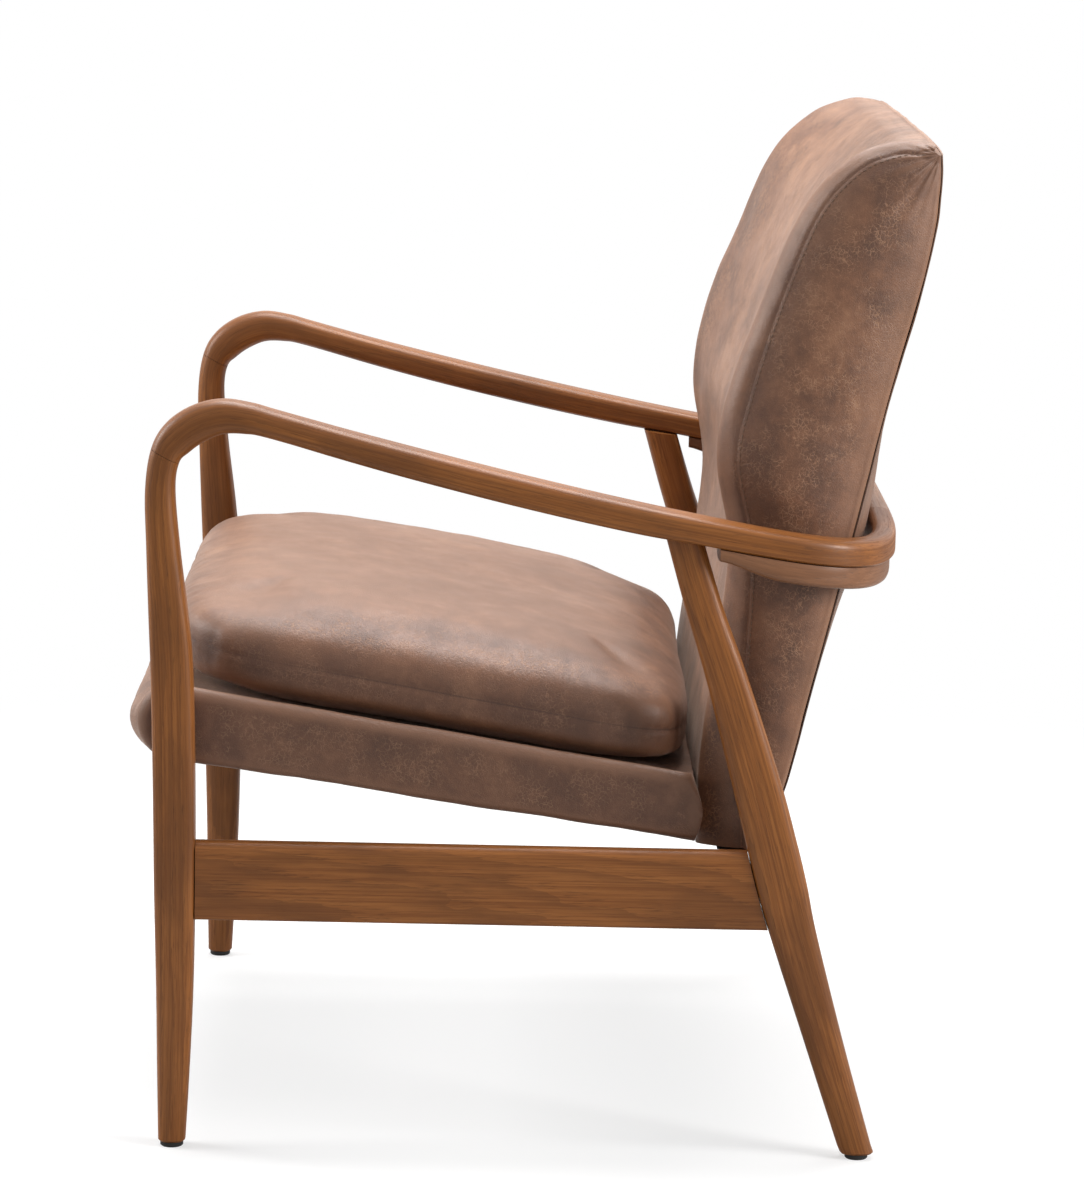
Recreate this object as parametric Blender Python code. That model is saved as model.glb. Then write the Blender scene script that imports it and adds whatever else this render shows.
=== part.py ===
"""Upholstered lounge chair: two timber side frames joined by a bow behind the back.

The leather seat base and the leather back are bolted between the side frames, and a loose
seat cushion lies on the seat base. Metres, +Z up, the chair faces -Y, the floor is Z = 0
and the origin is under the middle of the chair.
"""
import math

import bmesh
import bpy
from mathutils import Vector

# Clearance between pieces that touch and under a leather skin, and how far a cut runs past
gap = 0.0003
fill_gap = 0.001
overrun = 0.004

# Side frames
frame_half_width = 0.326
leg_width = 0.030
foot_width = 0.022
front_leg_y = -0.2886
front_leg_depth = 0.034
elbow_joint_height = 0.5746
rear_leg_foot_y = 0.2768
rear_leg_lean_share = 0.3008
leg_head_rise = 0.0078
rear_leg_depth = 0.0425
stretcher_bottom = 0.193
stretcher_height = 0.065
stretcher_thickness = 0.021
stretcher_edge_radius = 0.009
stretcher_low_radius = 0.003
tenon_height = 0.040
tenon_thickness = 0.008
tenon_length = 0.014
spigot_radius = 0.005
spigot_length = 0.009
spigot_root = 0.006
glide_height = 0.004
glide_radius = 0.0095
glide_chamfer = 0.001

# Arms and the bow behind the back
arm_top_height = 0.621
elbow_reach = 0.120
elbow_front_y = -0.3144
arm_thickness = 0.0225
arm_width = 0.038
arm_run = 0.4925
elbow_fall = 0.014
bow_top_height = 0.512
arm_drop = arm_top_height - elbow_fall - bow_top_height
arm_sweep_share = 1.45
bow_thickness = 0.0215
bow_draw_in = 0.009
bow_inner_half_width = frame_half_width - bow_draw_in
bow_centre_y = 0.1329
bow_inner_reach = 0.152
bow_rear_width = 0.021
bow_joint_x = 0.115
bow_screw_share = 0.27
bow_rail_inset = 0.003
bow_rail_lip = 0.002
bow_rail_thickness = 0.0185
bow_rail_end_thickness = 0.008
bow_rail_start = 0.032

# Seat base
seat_front_y = -0.3311
seat_rear_y = 0.1369
seat_front_height = 0.3816
seat_rear_height = 0.3081
base_front_depth = 0.0555
base_rear_depth = 0.0475
nose_reach = 0.038
nose_lip = 0.020
nose_corner_draw = 0.0125
nose_corner = 0.058
leather = 0.0015
deck_pad = 0.016
front_roll = 0.024
rail_thickness = 0.022
front_rail_thickness = 0.014
strap_thickness = 0.0016
strap_width = 0.050
long_straps = 5
cross_straps = 4
dust_cloth = 0.0008
dust_margin = 0.006

# Loose seat cushion
cushion_front_y = -0.3056
cushion_rear_y = 0.1369
cushion_side_room = 0.039
cushion_half_width = frame_half_width - cushion_side_room
cushion_front_seam = 0.056
cushion_rear_seam = 0.0425
cushion_front_crown = 0.034
cushion_middle_crown = 0.047
cushion_rear_crown = 0.042
cushion_draw_in = 0.007
cushion_corner_squareness = 5.0
cushion_crown_squareness = 3.0
cushion_top_fullness = 2.6
cushion_low_fullness = 4.4
cushion_lean = 0.2

# Back
back_drop = 0.0601
back_bottom = seat_rear_height - back_drop
back_height = 0.5890
back_foot_y = 0.1394
back_reach = 0.1832
back_side_room = 0.034
back_taper = 0.008
back_half_width = frame_half_width - back_side_room
back_top_half_width = back_half_width - back_taper
back_roll = 0.016
back_rear_roll = 0.005
back_hollow = 0.018
bow_clearance = 0.0012
back_end_bulge = 0.006
back_frame_inset = 0.0035
back_frame_depth = 0.037
post_thickness = 0.022
post_margin = 0.009
back_rail_height = 0.034
back_rail_depth = 0.022
gusset_wrap = 0.008

# Fasteners
bolt_radius = 0.004
bolt_head_radius = 0.0065
bolt_head_height = 0.004
insert_radius = 0.006
insert_length = 0.015
rear_bolt_rise = 0.052
rear_bolt_height = back_bottom + rear_bolt_rise
back_bolt_x = 0.140
back_bolt_drop = 0.0296
back_bolt_height = seat_rear_height - back_bolt_drop
bow_bolt_x = 0.060
plug_length = 0.004
screw_radius = 0.002
screw_head_radius = 0.0038
screw_length = 0.030

# Smoothness of the round forms
leg_sides = 12
arm_sides = 16
bow_rail_sides = 8
round_sides = 10
bow_turns = 10
bow_steps = 6
bow_rail_steps = 24
nose_steps = 12
cushion_sides = 40

SIDES = (("left", 1), ("right", -1))

leather_finish = ((0.205, 0.115, 0.075), 0.45, 0.0)
timber_finish = ((0.215, 0.098, 0.040), 0.40, 0.0)
beech_finish = ((0.520, 0.360, 0.210), 0.60, 0.0)
foam_finish = ((0.780, 0.740, 0.600), 0.90, 0.0)
webbing_finish = ((0.110, 0.095, 0.080), 0.85, 0.0)
dust_finish = ((0.012, 0.012, 0.013), 0.90, 0.0)
steel_finish = ((0.550, 0.550, 0.560), 0.30, 1.0)
glide_finish = ((0.015, 0.014, 0.013), 0.50, 0.0)


def clear_scene():
    """Removes every object that is already there."""
    for thing in list(bpy.data.objects):
        bpy.data.objects.remove(thing, do_unlink=True)


def make_object(name, bm, finish, crease=math.radians(40)):
    """Turns a bmesh into a named object about its own middle, with its own material."""
    middle = sum((corner.co for corner in bm.verts), Vector((0, 0, 0))) / len(bm.verts)
    bmesh.ops.translate(bm, vec=-middle, verts=bm.verts)
    mesh = bpy.data.meshes.new(name)
    bm.to_mesh(mesh)
    bm.free()
    mesh.shade_smooth()
    mesh.set_sharp_from_angle(angle=crease)
    colour, roughness, metallic = finish
    material = bpy.data.materials.new(name)
    material.use_nodes = True
    shader = material.node_tree.nodes["Principled BSDF"]
    shader.inputs["Base Color"].default_value = (*colour, 1.0)
    shader.inputs["Roughness"].default_value = roughness
    shader.inputs["Metallic"].default_value = metallic
    mesh.materials.append(material)
    made = bpy.data.objects.new(name, mesh)
    made.location = middle
    bpy.context.scene.collection.objects.link(made)
    return made


def gather(name, place, pieces):
    """Parents the pieces of a sub-assembly to an empty at its reference point."""
    hub = bpy.data.objects.new(name, None)
    hub.location = place
    bpy.context.scene.collection.objects.link(hub)
    for piece in pieces:
        piece.parent = hub
        piece.location -= hub.location


def extrude_ring(bm, corners, edges, ring):
    """Extrudes a loop of edges and sets its new corners on the next ring."""
    made = bmesh.ops.extrude_edge_only(bm, edges=edges)["geom"]
    fresh = {item for item in made if isinstance(item, bmesh.types.BMVert)}
    ahead = [next(edge.other_vert(corner) for edge in corner.link_edges
                  if edge.other_vert(corner) in fresh) for corner in corners]
    for corner, point in zip(ahead, ring):
        corner.co = point
    return ahead, [item for item in made if isinstance(item, bmesh.types.BMEdge)
                   and set(item.verts) <= fresh]


def add_loft(bm, rings, closed=False):
    """Lofts one body through rings of equal count: capped at both ends, or closed on itself."""
    before = bm.calc_volume(signed=True)
    known = set(bm.faces)
    first = [bm.verts.new(point) for point in rings[0]]
    edges = [bm.edges.new((first[i - 1], first[i])) for i in range(len(first))]
    if not closed:
        bmesh.ops.contextual_create(bm, geom=edges)
    corners = first
    for ring in rings[1:]:
        corners, edges = extrude_ring(bm, corners, edges, ring)
    if closed:
        corners, edges = extrude_ring(bm, corners, edges, rings[0])
        bmesh.ops.weld_verts(bm, targetmap=dict(zip(corners, first)))
    else:
        bmesh.ops.contextual_create(bm, geom=edges)
    faces = [face for face in bm.faces if face not in known]
    bmesh.ops.recalc_face_normals(bm, faces=faces)
    if bm.calc_volume(signed=True) < before:
        bmesh.ops.reverse_faces(bm, faces=faces)


def loft(name, rings, finish):
    """One object lofted through rings."""
    bm = bmesh.new()
    add_loft(bm, rings)
    return make_object(name, bm, finish)


def add_turned(bm, start, axis, steps, closed=False, sides=round_sides):
    """Turns a profile of (distance, radius) steps about an axis."""
    axis = Vector(axis).normalized()
    across = axis.orthogonal().normalized()
    upward = axis.cross(across)
    rings = []
    for distance, radius in steps:
        turns = [2 * math.pi * i / sides for i in range(sides)]
        rings.append([start + axis * distance + (across * math.cos(a) + upward * math.sin(a)) * radius
                      for a in turns])
    add_loft(bm, rings, closed)


def make_guide(name, bm):
    """A form that only cuts or joins other pieces."""
    guide = make_object(name, bm, beech_finish)
    guide.hide_render = True
    guide.display_type = "WIRE"
    return guide


def carve(piece, *guides, operation="DIFFERENCE"):
    """Takes the guides' forms out of a piece, or joins them to it."""
    for guide in guides:
        modifier = piece.modifiers.new(guide.name, "BOOLEAN")
        modifier.operation = operation
        modifier.object = guide


def turned(name, start, axis, steps, finish, **options):
    """One turned body as an object."""
    bm = bmesh.new()
    add_turned(bm, start, axis, steps, **options)
    return make_object(name, bm, finish)


def mix(low, high, share):
    """The value or point at a share of the way from low to high."""
    return low + (high - low) * share


def ease(share):
    """A soft step from 0 to 1."""
    share = min(1.0, max(0.0, share))
    return share * share * (3 - 2 * share)


def spline(points, steps):
    """A smooth curve through hand-set points, with so many steps to each span."""
    points = [Vector(point) for point in points]
    curve = []
    for i in range(len(points) - 1):
        before = points[max(i - 1, 0)]
        start, end = points[i], points[i + 1]
        after = points[min(i + 2, len(points) - 1)]
        for step in range(steps):
            t = step / steps
            curve.append(0.5 * (2 * start + (end - before) * t
                                + (2 * before - 5 * start + 4 * end - after) * t * t
                                + (3 * start - before - 3 * end + after) * t * t * t))
    return curve + [points[-1]]


def read_curve(curve, value):
    """Reads a curve of (key, ...) points at a key between its ends."""
    for low, high in zip(curve, curve[1:]):
        if value <= high[0]:
            break
    return mix(low, high, (value - low[0]) / (high[0] - low[0]))


def superellipse(angle, squareness):
    """The point of a unit superellipse in the direction of an angle."""
    c, s = math.cos(angle), math.sin(angle)
    reach = (abs(c) ** squareness + abs(s) ** squareness) ** (-1 / squareness)
    return c * reach, s * reach


def section(centre, across, upward, squareness, sides, under=None):
    """A rounded closed section about a centre, spanned by two half axes; under is its lower half."""
    ring = []
    for i in range(sides):
        angle = 2 * math.pi * (i + 0.5) / sides
        a, b = superellipse(angle, under if under and angle > math.pi else squareness)
        ring.append(centre + across * a + upward * b)
    return ring


def offset_path(path, distance, closed=False):
    """Moves a (y, z) path sideways, to the left of its direction, with mitred corners."""
    moved = []
    count = len(path)
    for i, point in enumerate(path):
        before = path[i - 1] if closed or i > 0 else point
        after = path[(i + 1) % count] if closed or i < count - 1 else point
        sides = [(b - a).normalized() for a, b in ((before, point), (point, after)) if b != a]
        normals = [Vector((-side.y, side.x)) for side in sides]
        mean = (normals[0] + normals[-1]).normalized()
        moved.append(point + mean * distance / max(0.5, mean.dot(normals[0])))
    return moved


# Side frames

# Front leg: share of its height, front face and rear face as shares of its depth, squareness
front_leg_shares = (
    (0.000, -0.330, 0.330, 2.6),
    (0.110, -0.370, 0.420, 3.0),
    (0.225, -0.403, 0.488, 4.0),
    (0.372, -0.468, 0.515, 5.0),
    (0.531, -0.518, 0.491, 5.0),
    (0.681, -0.585, 0.421, 4.5),
    (0.761, -0.644, 0.309, 4.0),
    (0.867, -0.718, 0.085, 3.2),
    (0.950, -0.757, -0.040, 2.8),
)

# Rear leg: share of its height, share of its rake, share of its depth, squareness
rear_leg_shares = (
    (0.000, 0.000, 0.655, 2.6),
    (0.186, 0.195, 0.765, 3.2),
    (0.361, 0.372, 0.920, 4.5),
    (0.438, 0.439, 1.000, 5.0),
    (0.506, 0.497, 0.995, 5.0),
    (0.612, 0.594, 0.955, 5.0),
    (0.767, 0.751, 0.820, 4.5),
    (0.884, 0.884, 0.735, 3.6),
    (1.000, 1.000, 0.700, 3.2),
)

# Elbow: outer and inner points as shares of its reach, from the corner of its front and its top
elbow_shares = (
    (0.040, -0.339, 0.228, -0.437),
    (0.138, -0.168, 0.296, -0.362),
    (0.305, -0.051, 0.392, -0.291),
    (0.504, 0.000, 0.523, -0.234),
    (0.705, -0.023, 0.669, -0.229),
    (0.882, -0.070, 0.820, -0.252),
)

# How square the rounded sections are: 2 is an ellipse, and large values near a rectangle
elbow_start_squareness = 2.8
arm_squareness = 3.2
bow_squareness = 4.4
bow_under_squareness = 9.0
bow_rail_squareness = 7.0
bow_inner_plan_squareness = 5.6
bow_outer_plan_squareness = 4.5

# How soon the legs reach their full width, and how wide the elbow and the arm are at their meeting
leg_taper_share = 2.2
elbow_width_share = 0.45
# Between these shares of its height the rear leg's head runs straight on into the arm
leg_head_shares = (0.88, 0.96)

# Where the arm's rings stand between the elbow and the turn of the bow
arm_ring_shares = (0.0, 0.12, 0.26, 0.42, 0.58, 0.74, 0.88)


def front_leg_station(share, front, rear):
    """Front and rear face of the front leg at a share of its height."""
    height = mix(glide_height + gap, elbow_joint_height, share)
    return height, front_leg_y + front * front_leg_depth, front_leg_y + rear * front_leg_depth


front_leg_curve = spline([(*front_leg_station(*row[:3]), row[3]) for row in front_leg_shares], 1)


def arm_top(y):
    """Height of the top of the arm, which drops in a shallow sweep to the bow."""
    rear_y = elbow_front_y + elbow_reach + arm_run
    return bow_top_height + arm_drop * (max(0.0, rear_y - y) / arm_run) ** arm_sweep_share


def rear_leg_head():
    """Height and place of the rear leg's head, which leans forwards until it runs into the arm."""
    y = rear_leg_foot_y
    for _ in range(12):
        height = arm_top(y) - bow_thickness + leg_head_rise
        y = rear_leg_foot_y - rear_leg_lean_share * height
    return height, y


rear_leg_height, rear_leg_top_y = rear_leg_head()


def rear_leg_station(share, rake, depth):
    """Front and rear face of the rear leg at a share of its height."""
    height = mix(glide_height + gap, rear_leg_height, share)
    middle = mix(rear_leg_foot_y, rear_leg_top_y, rake)
    half = 0.5 * depth * rear_leg_depth
    return height, middle - half, middle + half


rear_leg_curve = spline([(*rear_leg_station(*row[:3]), row[3]) for row in rear_leg_shares], 1)


def leg_half_width(share):
    """Half the leg's width across the chair, which tapers towards the foot."""
    return 0.5 * mix(foot_width, leg_width, ease(share * leg_taper_share))


def arm_middle_x(y):
    """Distance of the arm's middle from the chair's middle."""
    start = elbow_front_y + elbow_reach
    return mix(frame_half_width, bow_inner_half_width + 0.5 * arm_width,
               ease((y - start) / (bow_centre_y - start)))


def elbow_pairs(side):
    """Outer and inner points of the elbow's rings, with the half width of each."""
    faces = [spline([(side * frame_half_width, elbow_front_y + row[i] * elbow_reach,
                      arm_top_height + row[i + 1] * elbow_reach) for row in elbow_shares], 2)
             for i in (0, 2)]
    return list(zip(*faces))


def bow_section(side, angle, grow=0.0):
    """One ring of the bow, in the direction of an angle seen from above."""
    inner_x, inner_y = superellipse(angle, bow_inner_plan_squareness)
    outer_x, outer_y = superellipse(angle, bow_outer_plan_squareness)
    inner = Vector((side * bow_inner_half_width * inner_x, bow_centre_y + bow_inner_reach * inner_y, 0))
    outer = Vector((side * (bow_inner_half_width + arm_width) * outer_x,
                    bow_centre_y + (bow_inner_reach + bow_rear_width) * outer_y, 0))
    middle = 0.5 * (inner + outer)
    middle.z = arm_top(middle.y) - 0.5 * bow_thickness
    across = 0.5 * (outer - inner)
    across += across.normalized() * grow
    upward = Vector((0, 0, 0.5 * bow_thickness + grow))
    return section(middle, across, upward, bow_squareness, arm_sides, bow_under_squareness)


bow_joint_angle = math.atan2(1.0, bow_joint_x / (bow_inner_half_width + 0.5 * arm_width))


def arm_rings(side, grow=0.0):
    """Rings of an arm from the elbow joint to its glued joint with the bow."""
    rings = []
    pairs = elbow_pairs(side)
    along = Vector((0, pairs[0][1].z - pairs[0][0].z, pairs[0][0].y - pairs[0][1].y)).normalized()
    along = along if along.z > 0 else -along
    for i, (outer, inner) in enumerate(pairs):
        share = i / len(pairs)
        half = mix(leg_half_width(1.0), elbow_width_share * arm_width, share * share) + grow
        centre = 0.5 * (outer + inner) + (along * gap if i == 0 else Vector((0, 0, 0)))
        upward = 0.5 * (outer - inner)
        upward += upward.normalized() * grow
        rings.append(section(centre, Vector((side * half, 0, 0)), upward,
                             mix(elbow_start_squareness, arm_squareness, share), arm_sides))
    start = elbow_front_y + elbow_reach
    for share in arm_ring_shares:
        y = mix(start, bow_centre_y, share)
        half_height = 0.5 * mix(arm_thickness, bow_thickness, share) + grow
        half = mix(elbow_width_share, 0.5, ease(3 * share)) * arm_width + grow
        centre = Vector((side * arm_middle_x(y), y, arm_top(y) - half_height + grow))
        rings.append(section(centre, Vector((side * half, 0, 0)), Vector((0, 0, half_height)),
                             mix(arm_squareness, bow_squareness, share), arm_sides,
                             mix(arm_squareness, bow_under_squareness, share)))
    for i in range(bow_turns + 1):
        rings.append(bow_section(side, bow_joint_angle * i / bow_turns, grow))
    return rings


def leg_rings(side, curve, height):
    """Rings of a leg from its foot to its head."""
    rings = []
    for row in curve:
        across = Vector((side * leg_half_width(row[0] / height), 0, 0))
        centre = Vector((side * frame_half_width, 0.5 * (row[1] + row[2]), row[0]))
        rings.append(section(centre, across, Vector((0, 0.5 * (row[2] - row[1]), 0)), row[3], leg_sides))
    return rings


def make_spigot(name, root, direction):
    """A round tenon at a joint and its bore, as two guides."""
    tenon, bore = bmesh.new(), bmesh.new()
    add_turned(tenon, root, direction, ((-spigot_root, spigot_radius), (spigot_length, spigot_radius)))
    wall = spigot_radius + 2 * gap
    add_turned(bore, root, direction, ((-overrun, wall), (spigot_length + gap, wall)))
    return make_guide(name + "_spigot", tenon), make_guide(name + "_bore", bore)


def make_stretcher_tenon(word, side):
    """The stretcher's flat tenons, which run on from it at both ends, and their mortises."""
    middle = stretcher_bottom + 0.5 * stretcher_height
    made = []
    for name, grow in (("tenon_", 0), ("mortise_", gap)):
        low, high = middle - 0.5 * tenon_height - grow, middle + 0.5 * tenon_height + grow
        reach = tenon_length + grow
        outline = [Vector((read_curve(front_leg_curve, low)[2] - reach, low)),
                   Vector((read_curve(rear_leg_curve, low)[1] + reach, low)),
                   Vector((read_curve(rear_leg_curve, high)[1] + reach, high)),
                   Vector((read_curve(front_leg_curve, high)[2] - reach, high))]
        half = 0.5 * tenon_thickness + grow
        bm = bmesh.new()
        add_plank(bm, outline, side * frame_half_width - half, side * frame_half_width + half)
        made.append(make_guide(name + word, bm))
    return made


def make_side_frame(word, side, bolt_bores, screw_bores):
    """Legs, arm and stretcher of one side, with their joints, and the bow joint's bore."""
    outer, inner = elbow_pairs(side)[0]
    joint = outer - inner
    elbow_spigot, elbow_bore = make_spigot("elbow_" + word, 0.5 * (outer + inner),
                                           Vector((0, -joint.z, joint.y)) * math.copysign(1, joint.y))
    low, high = (read_curve(rear_leg_curve, share * rear_leg_height) for share in leg_head_shares)
    lean = Vector((0, 0.5 * (high[1] + high[2] - low[1] - low[2]), high[0] - low[0]))
    head = Vector((side * frame_half_width, 0.5 * (high[1] + high[2]), high[0]))
    for _ in range(4):
        head += lean * ((arm_top(head.y) - bow_thickness - head.z) / lean.z)
    head_spigot, head_bore = make_spigot("rear_leg_" + word, head, lean)
    bow_end = sum(bow_section(side, bow_joint_angle), Vector((0, 0, 0))) / arm_sides
    bow_spigot, bow_bore = make_spigot("bow_" + word, bow_end, Vector((side, 0, 0)))
    tenon, mortise = make_stretcher_tenon(word, side)

    rings = leg_rings(side, front_leg_curve, elbow_joint_height)
    across = Vector((side * leg_half_width(1.0), 0, 0))
    rings.append(section(0.5 * (outer + inner), across, -0.5 * joint, elbow_start_squareness, leg_sides))
    front = loft("front_leg_" + word, rings, timber_finish)
    carve(front, mortise, bolt_bores)
    carve(front, elbow_spigot, operation="UNION")

    bm = bmesh.new()
    add_loft(bm, arm_rings(side, gap))
    arm_form = make_guide("arm_form_" + word, bm)
    rear = loft("rear_leg_" + word, leg_rings(side, rear_leg_curve, rear_leg_height), timber_finish)
    carve(rear, arm_form, mortise, bolt_bores)
    carve(rear, head_spigot, operation="UNION")

    carve(loft("arm_" + word, arm_rings(side), timber_finish), elbow_bore, head_bore, bow_bore, screw_bores)

    heights = (stretcher_bottom, stretcher_bottom + stretcher_height)
    ends = [[], []]
    for x, z in board_outline(0.5 * stretcher_thickness, *heights):
        ends[0].append(Vector((side * frame_half_width + x, read_curve(front_leg_curve, z)[2] + gap, z)))
        ends[1].append(Vector((side * frame_half_width + x, read_curve(rear_leg_curve, z)[1] - 2 * gap, z)))
    carve(loft("side_stretcher_" + word, ends, timber_finish), tenon, operation="UNION")
    return bow_spigot


# Heights of the points along a board's upright sides
board_side_shares = (0.25, 0.42, 0.58, 0.72)


def board_outline(half, low, high):
    """Outline of a standing board with rounded long edges."""
    outline = []
    corners = ((1, high, stretcher_edge_radius, 0), (-1, high, stretcher_edge_radius, 1),
               (-1, low, stretcher_low_radius, 2), (1, low, stretcher_low_radius, 3))
    for across, z, radius, quarter in corners:
        centre_z = z - radius if z == high else z + radius
        for i in range(4):
            angle = math.pi / 2 * (quarter + i / 3)
            outline.append((across * (half - radius) + radius * math.cos(angle),
                            centre_z + radius * math.sin(angle)))
        if quarter in (1, 3):
            outline += [(across * half, mix(low, high, abs(share - (quarter == 1))))
                        for share in board_side_shares]
    return outline


def make_bow(spigots, bolt_bores, screw_bores):
    """The rear piece of the bow and the support rail that carries it."""
    rings = []
    for i in range(bow_steps + 1):
        angle = mix(bow_joint_angle, math.pi - bow_joint_angle, i / bow_steps)
        ring = bow_section(1, angle)
        if i in (0, bow_steps):
            inward = Vector((-1 if i == 0 else 1, 0, 0))
            ring = [point + inward * gap for point in ring]
        rings.append(ring)
    bow = loft("back_bow", rings, timber_finish)
    carve(bow, bolt_bores)
    carve(bow, *spigots, operation="UNION")

    rings = []
    start = math.atan2(bow_rail_start, bow_inner_half_width)
    for i in range(bow_rail_steps + 1):
        share = i / bow_rail_steps
        angle = mix(start, math.pi - start, share)
        inner_x, inner_y = superellipse(angle, bow_inner_plan_squareness)
        outer_x, outer_y = superellipse(angle, bow_outer_plan_squareness)
        reach_out = bow_inner_half_width + arm_width - bow_rail_inset
        inner = Vector(((bow_inner_half_width + bow_rail_lip) * inner_x,
                        bow_centre_y + (bow_inner_reach + bow_rail_lip) * inner_y, 0))
        outer = Vector((reach_out * outer_x,
                        bow_centre_y + (bow_inner_reach + bow_rear_width - bow_rail_inset) * outer_y, 0))
        middle = 0.5 * (inner + outer)
        end_share = ease(min(share, 1 - share) * bow_rail_steps / 3)
        thickness = mix(bow_rail_end_thickness, bow_rail_thickness, end_share)
        middle.z = arm_top(middle.y) - bow_thickness - gap - 0.5 * thickness
        rings.append(section(middle, 0.5 * (outer - inner), Vector((0, 0, 0.5 * thickness)),
                             bow_rail_squareness, bow_rail_sides))
    carve(loft("bow_support_rail", rings, timber_finish), bolt_bores, screw_bores)


def make_glides():
    """A thin disc under each foot."""
    for word, side in SIDES:
        for end, y in (("front", front_leg_y), ("rear", rear_leg_foot_y)):
            turned(f"foot_glide_{end}_{word}", Vector((side * frame_half_width, y, 0)), (0, 0, 1),
                   ((0, glide_radius - glide_chamfer), (glide_chamfer, glide_radius),
                    (glide_height, glide_radius)), glide_finish, sides=arm_sides)


# Bolts, inserts and screws

# How deep the bolts end in the back's rails, and how far a plug stands out of the bow
back_bolt_share = 0.65
bow_bolt_share = 0.60
plug_proud_share = 0.3


def bolt_steps(length, sunk=0.0):
    """Profile of a bolt: its head, and its shank to a length past the head's seat."""
    return ((sunk - bolt_head_height, bolt_head_radius), (sunk, bolt_head_radius), (sunk, bolt_radius),
            (length, bolt_radius))


def leg_bolt_places():
    """Where the bolts run from the seat frame and the back posts out into the legs.

    A rear bolt stands midway between the middle of the leg and the middle of the post.
    """
    front_y = seat_front_y + leather + gap + front_roll + front_rail_thickness + bolt_head_radius + 2 * gap
    middle = 0.5 * (deck_height(front_y) + base_height(front_y))
    inner = seat_half_width - leather - gap - rail_thickness
    low, high = read_curve(rear_leg_curve, rear_bolt_height)[1:3]
    post = rear_face(rear_bolt_height, post_inner_x) - back_frame_inset - 0.5 * back_frame_depth
    return (("front", inner, front_y, middle),
            ("rear", post_inner_x, 0.5 * (0.5 * (low + high) + post), rear_bolt_height))


def make_leg_bolts():
    """Bolts and threaded inserts that hold the upholstered parts between the side frames."""
    bores = bmesh.new()
    wide = bolt_radius + 2 * gap
    for word, side in SIDES:
        out = Vector((side, 0, 0))
        for end, start_x, y, z in leg_bolt_places():
            head = Vector((side * (start_x - gap), y, z))
            face = seat_half_width - start_x + 1.5 * gap
            tip = face + insert_length
            turned(f"leg_bolt_{end}_{word}", head, out, bolt_steps(tip - gap), steel_finish)
            turned(f"threaded_insert_{end}_{word}", head, out,
                   ((face + gap, insert_radius), (tip, insert_radius), (tip, wide), (face + gap, wide)),
                   steel_finish, closed=True)
            room = insert_radius + 2 * gap
            add_turned(bores, head, out, ((-overrun, wide), (face, wide), (face, room), (tip + gap, room)))
    return make_guide("bolt_bores", bores)


def make_back_bolts():
    """Two long bolts from the seat frame's rear rail into the bottom rail of the back."""
    bores = bmesh.new()
    z = back_bolt_height
    start_y = seat_rear_y - gap - rail_thickness
    along = Vector((0, 1, 0))
    wide = bolt_radius + 2 * gap
    for word, side in SIDES:
        x = side * back_bolt_x
        head = Vector((x, start_y - gap, z))
        length = rear_face(z, x) - back_frame_inset - (1 - back_bolt_share) * back_rail_depth - start_y
        turned("back_bolt_" + word, head, along, bolt_steps(length), steel_finish)
        add_turned(bores, head, along, ((-overrun, wide), (length + gap, wide)))
    return make_guide("back_bolt_bores", bores)


def make_bow_bolts():
    """Bolts through the bow into the back's middle rail, and their plugs."""
    bores = bmesh.new()
    z = bow_top_height - 0.5 * bow_thickness
    inward = Vector((0, -1, 0))
    wide, room = bolt_radius + 2 * gap, bolt_head_radius + 2 * gap
    seat = plug_length + gap + bolt_head_height
    for word, side in SIDES:
        x = side * bow_bolt_x
        face = Vector((x, bow_centre_y + bow_inner_reach + bow_rear_width - plug_proud_share * plug_length, z))
        reach = face.y - rear_face(z, x) + back_frame_inset + bow_bolt_share * back_rail_depth
        turned("bow_plug_" + word, face, inward,
               ((0, bolt_head_radius + gap), (plug_length, bolt_head_radius + gap)), timber_finish)
        turned("bow_bolt_" + word, face, inward, bolt_steps(reach, seat), steel_finish)
        add_turned(bores, face, inward, ((-overrun, room), (seat + gap, room), (seat + gap, wide),
                                         (reach + gap, wide)))
    return make_guide("bow_bolt_bores", bores)


def make_bow_screws():
    """Screws from below through the support rail into the arms at the turn of the bow."""
    bores = bmesh.new()
    wide, room = screw_radius + 2 * gap, screw_head_radius + 2 * gap
    up = Vector((0, 0, 1))
    for word, side in SIDES:
        middle = sum(bow_section(side, bow_screw_share * math.pi), Vector((0, 0, 0))) / arm_sides
        bottom = arm_top(middle.y) - bow_thickness - bow_rail_thickness - gap
        start = Vector((middle.x, middle.y, bottom))
        turned("bow_rail_screw_" + word, start, up,
               ((2 * gap, screw_head_radius), (screw_head_radius, screw_radius),
                (screw_length, screw_radius)), steel_finish)
        add_turned(bores, start, up, ((-overrun, room), (2 * gap, room), (screw_head_radius, wide),
                                      (screw_length + gap, wide)))
    return make_guide("bow_screw_bores", bores)


# Seat base

seat_half_width = frame_half_width - 0.5 * leg_width - gap
rail_drop = deck_pad + 2 * strap_thickness + 3 * gap


def deck_height(y):
    """Height of the leather deck, which falls towards the back."""
    return mix(seat_front_height, seat_rear_height, (y - seat_front_y) / (seat_rear_y - seat_front_y))


def base_height(y):
    """Height of the lower edge of the seat base."""
    share = (y - seat_front_y) / (seat_rear_y - seat_front_y)
    return deck_height(y) - mix(base_front_depth, base_rear_depth, share)


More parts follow.
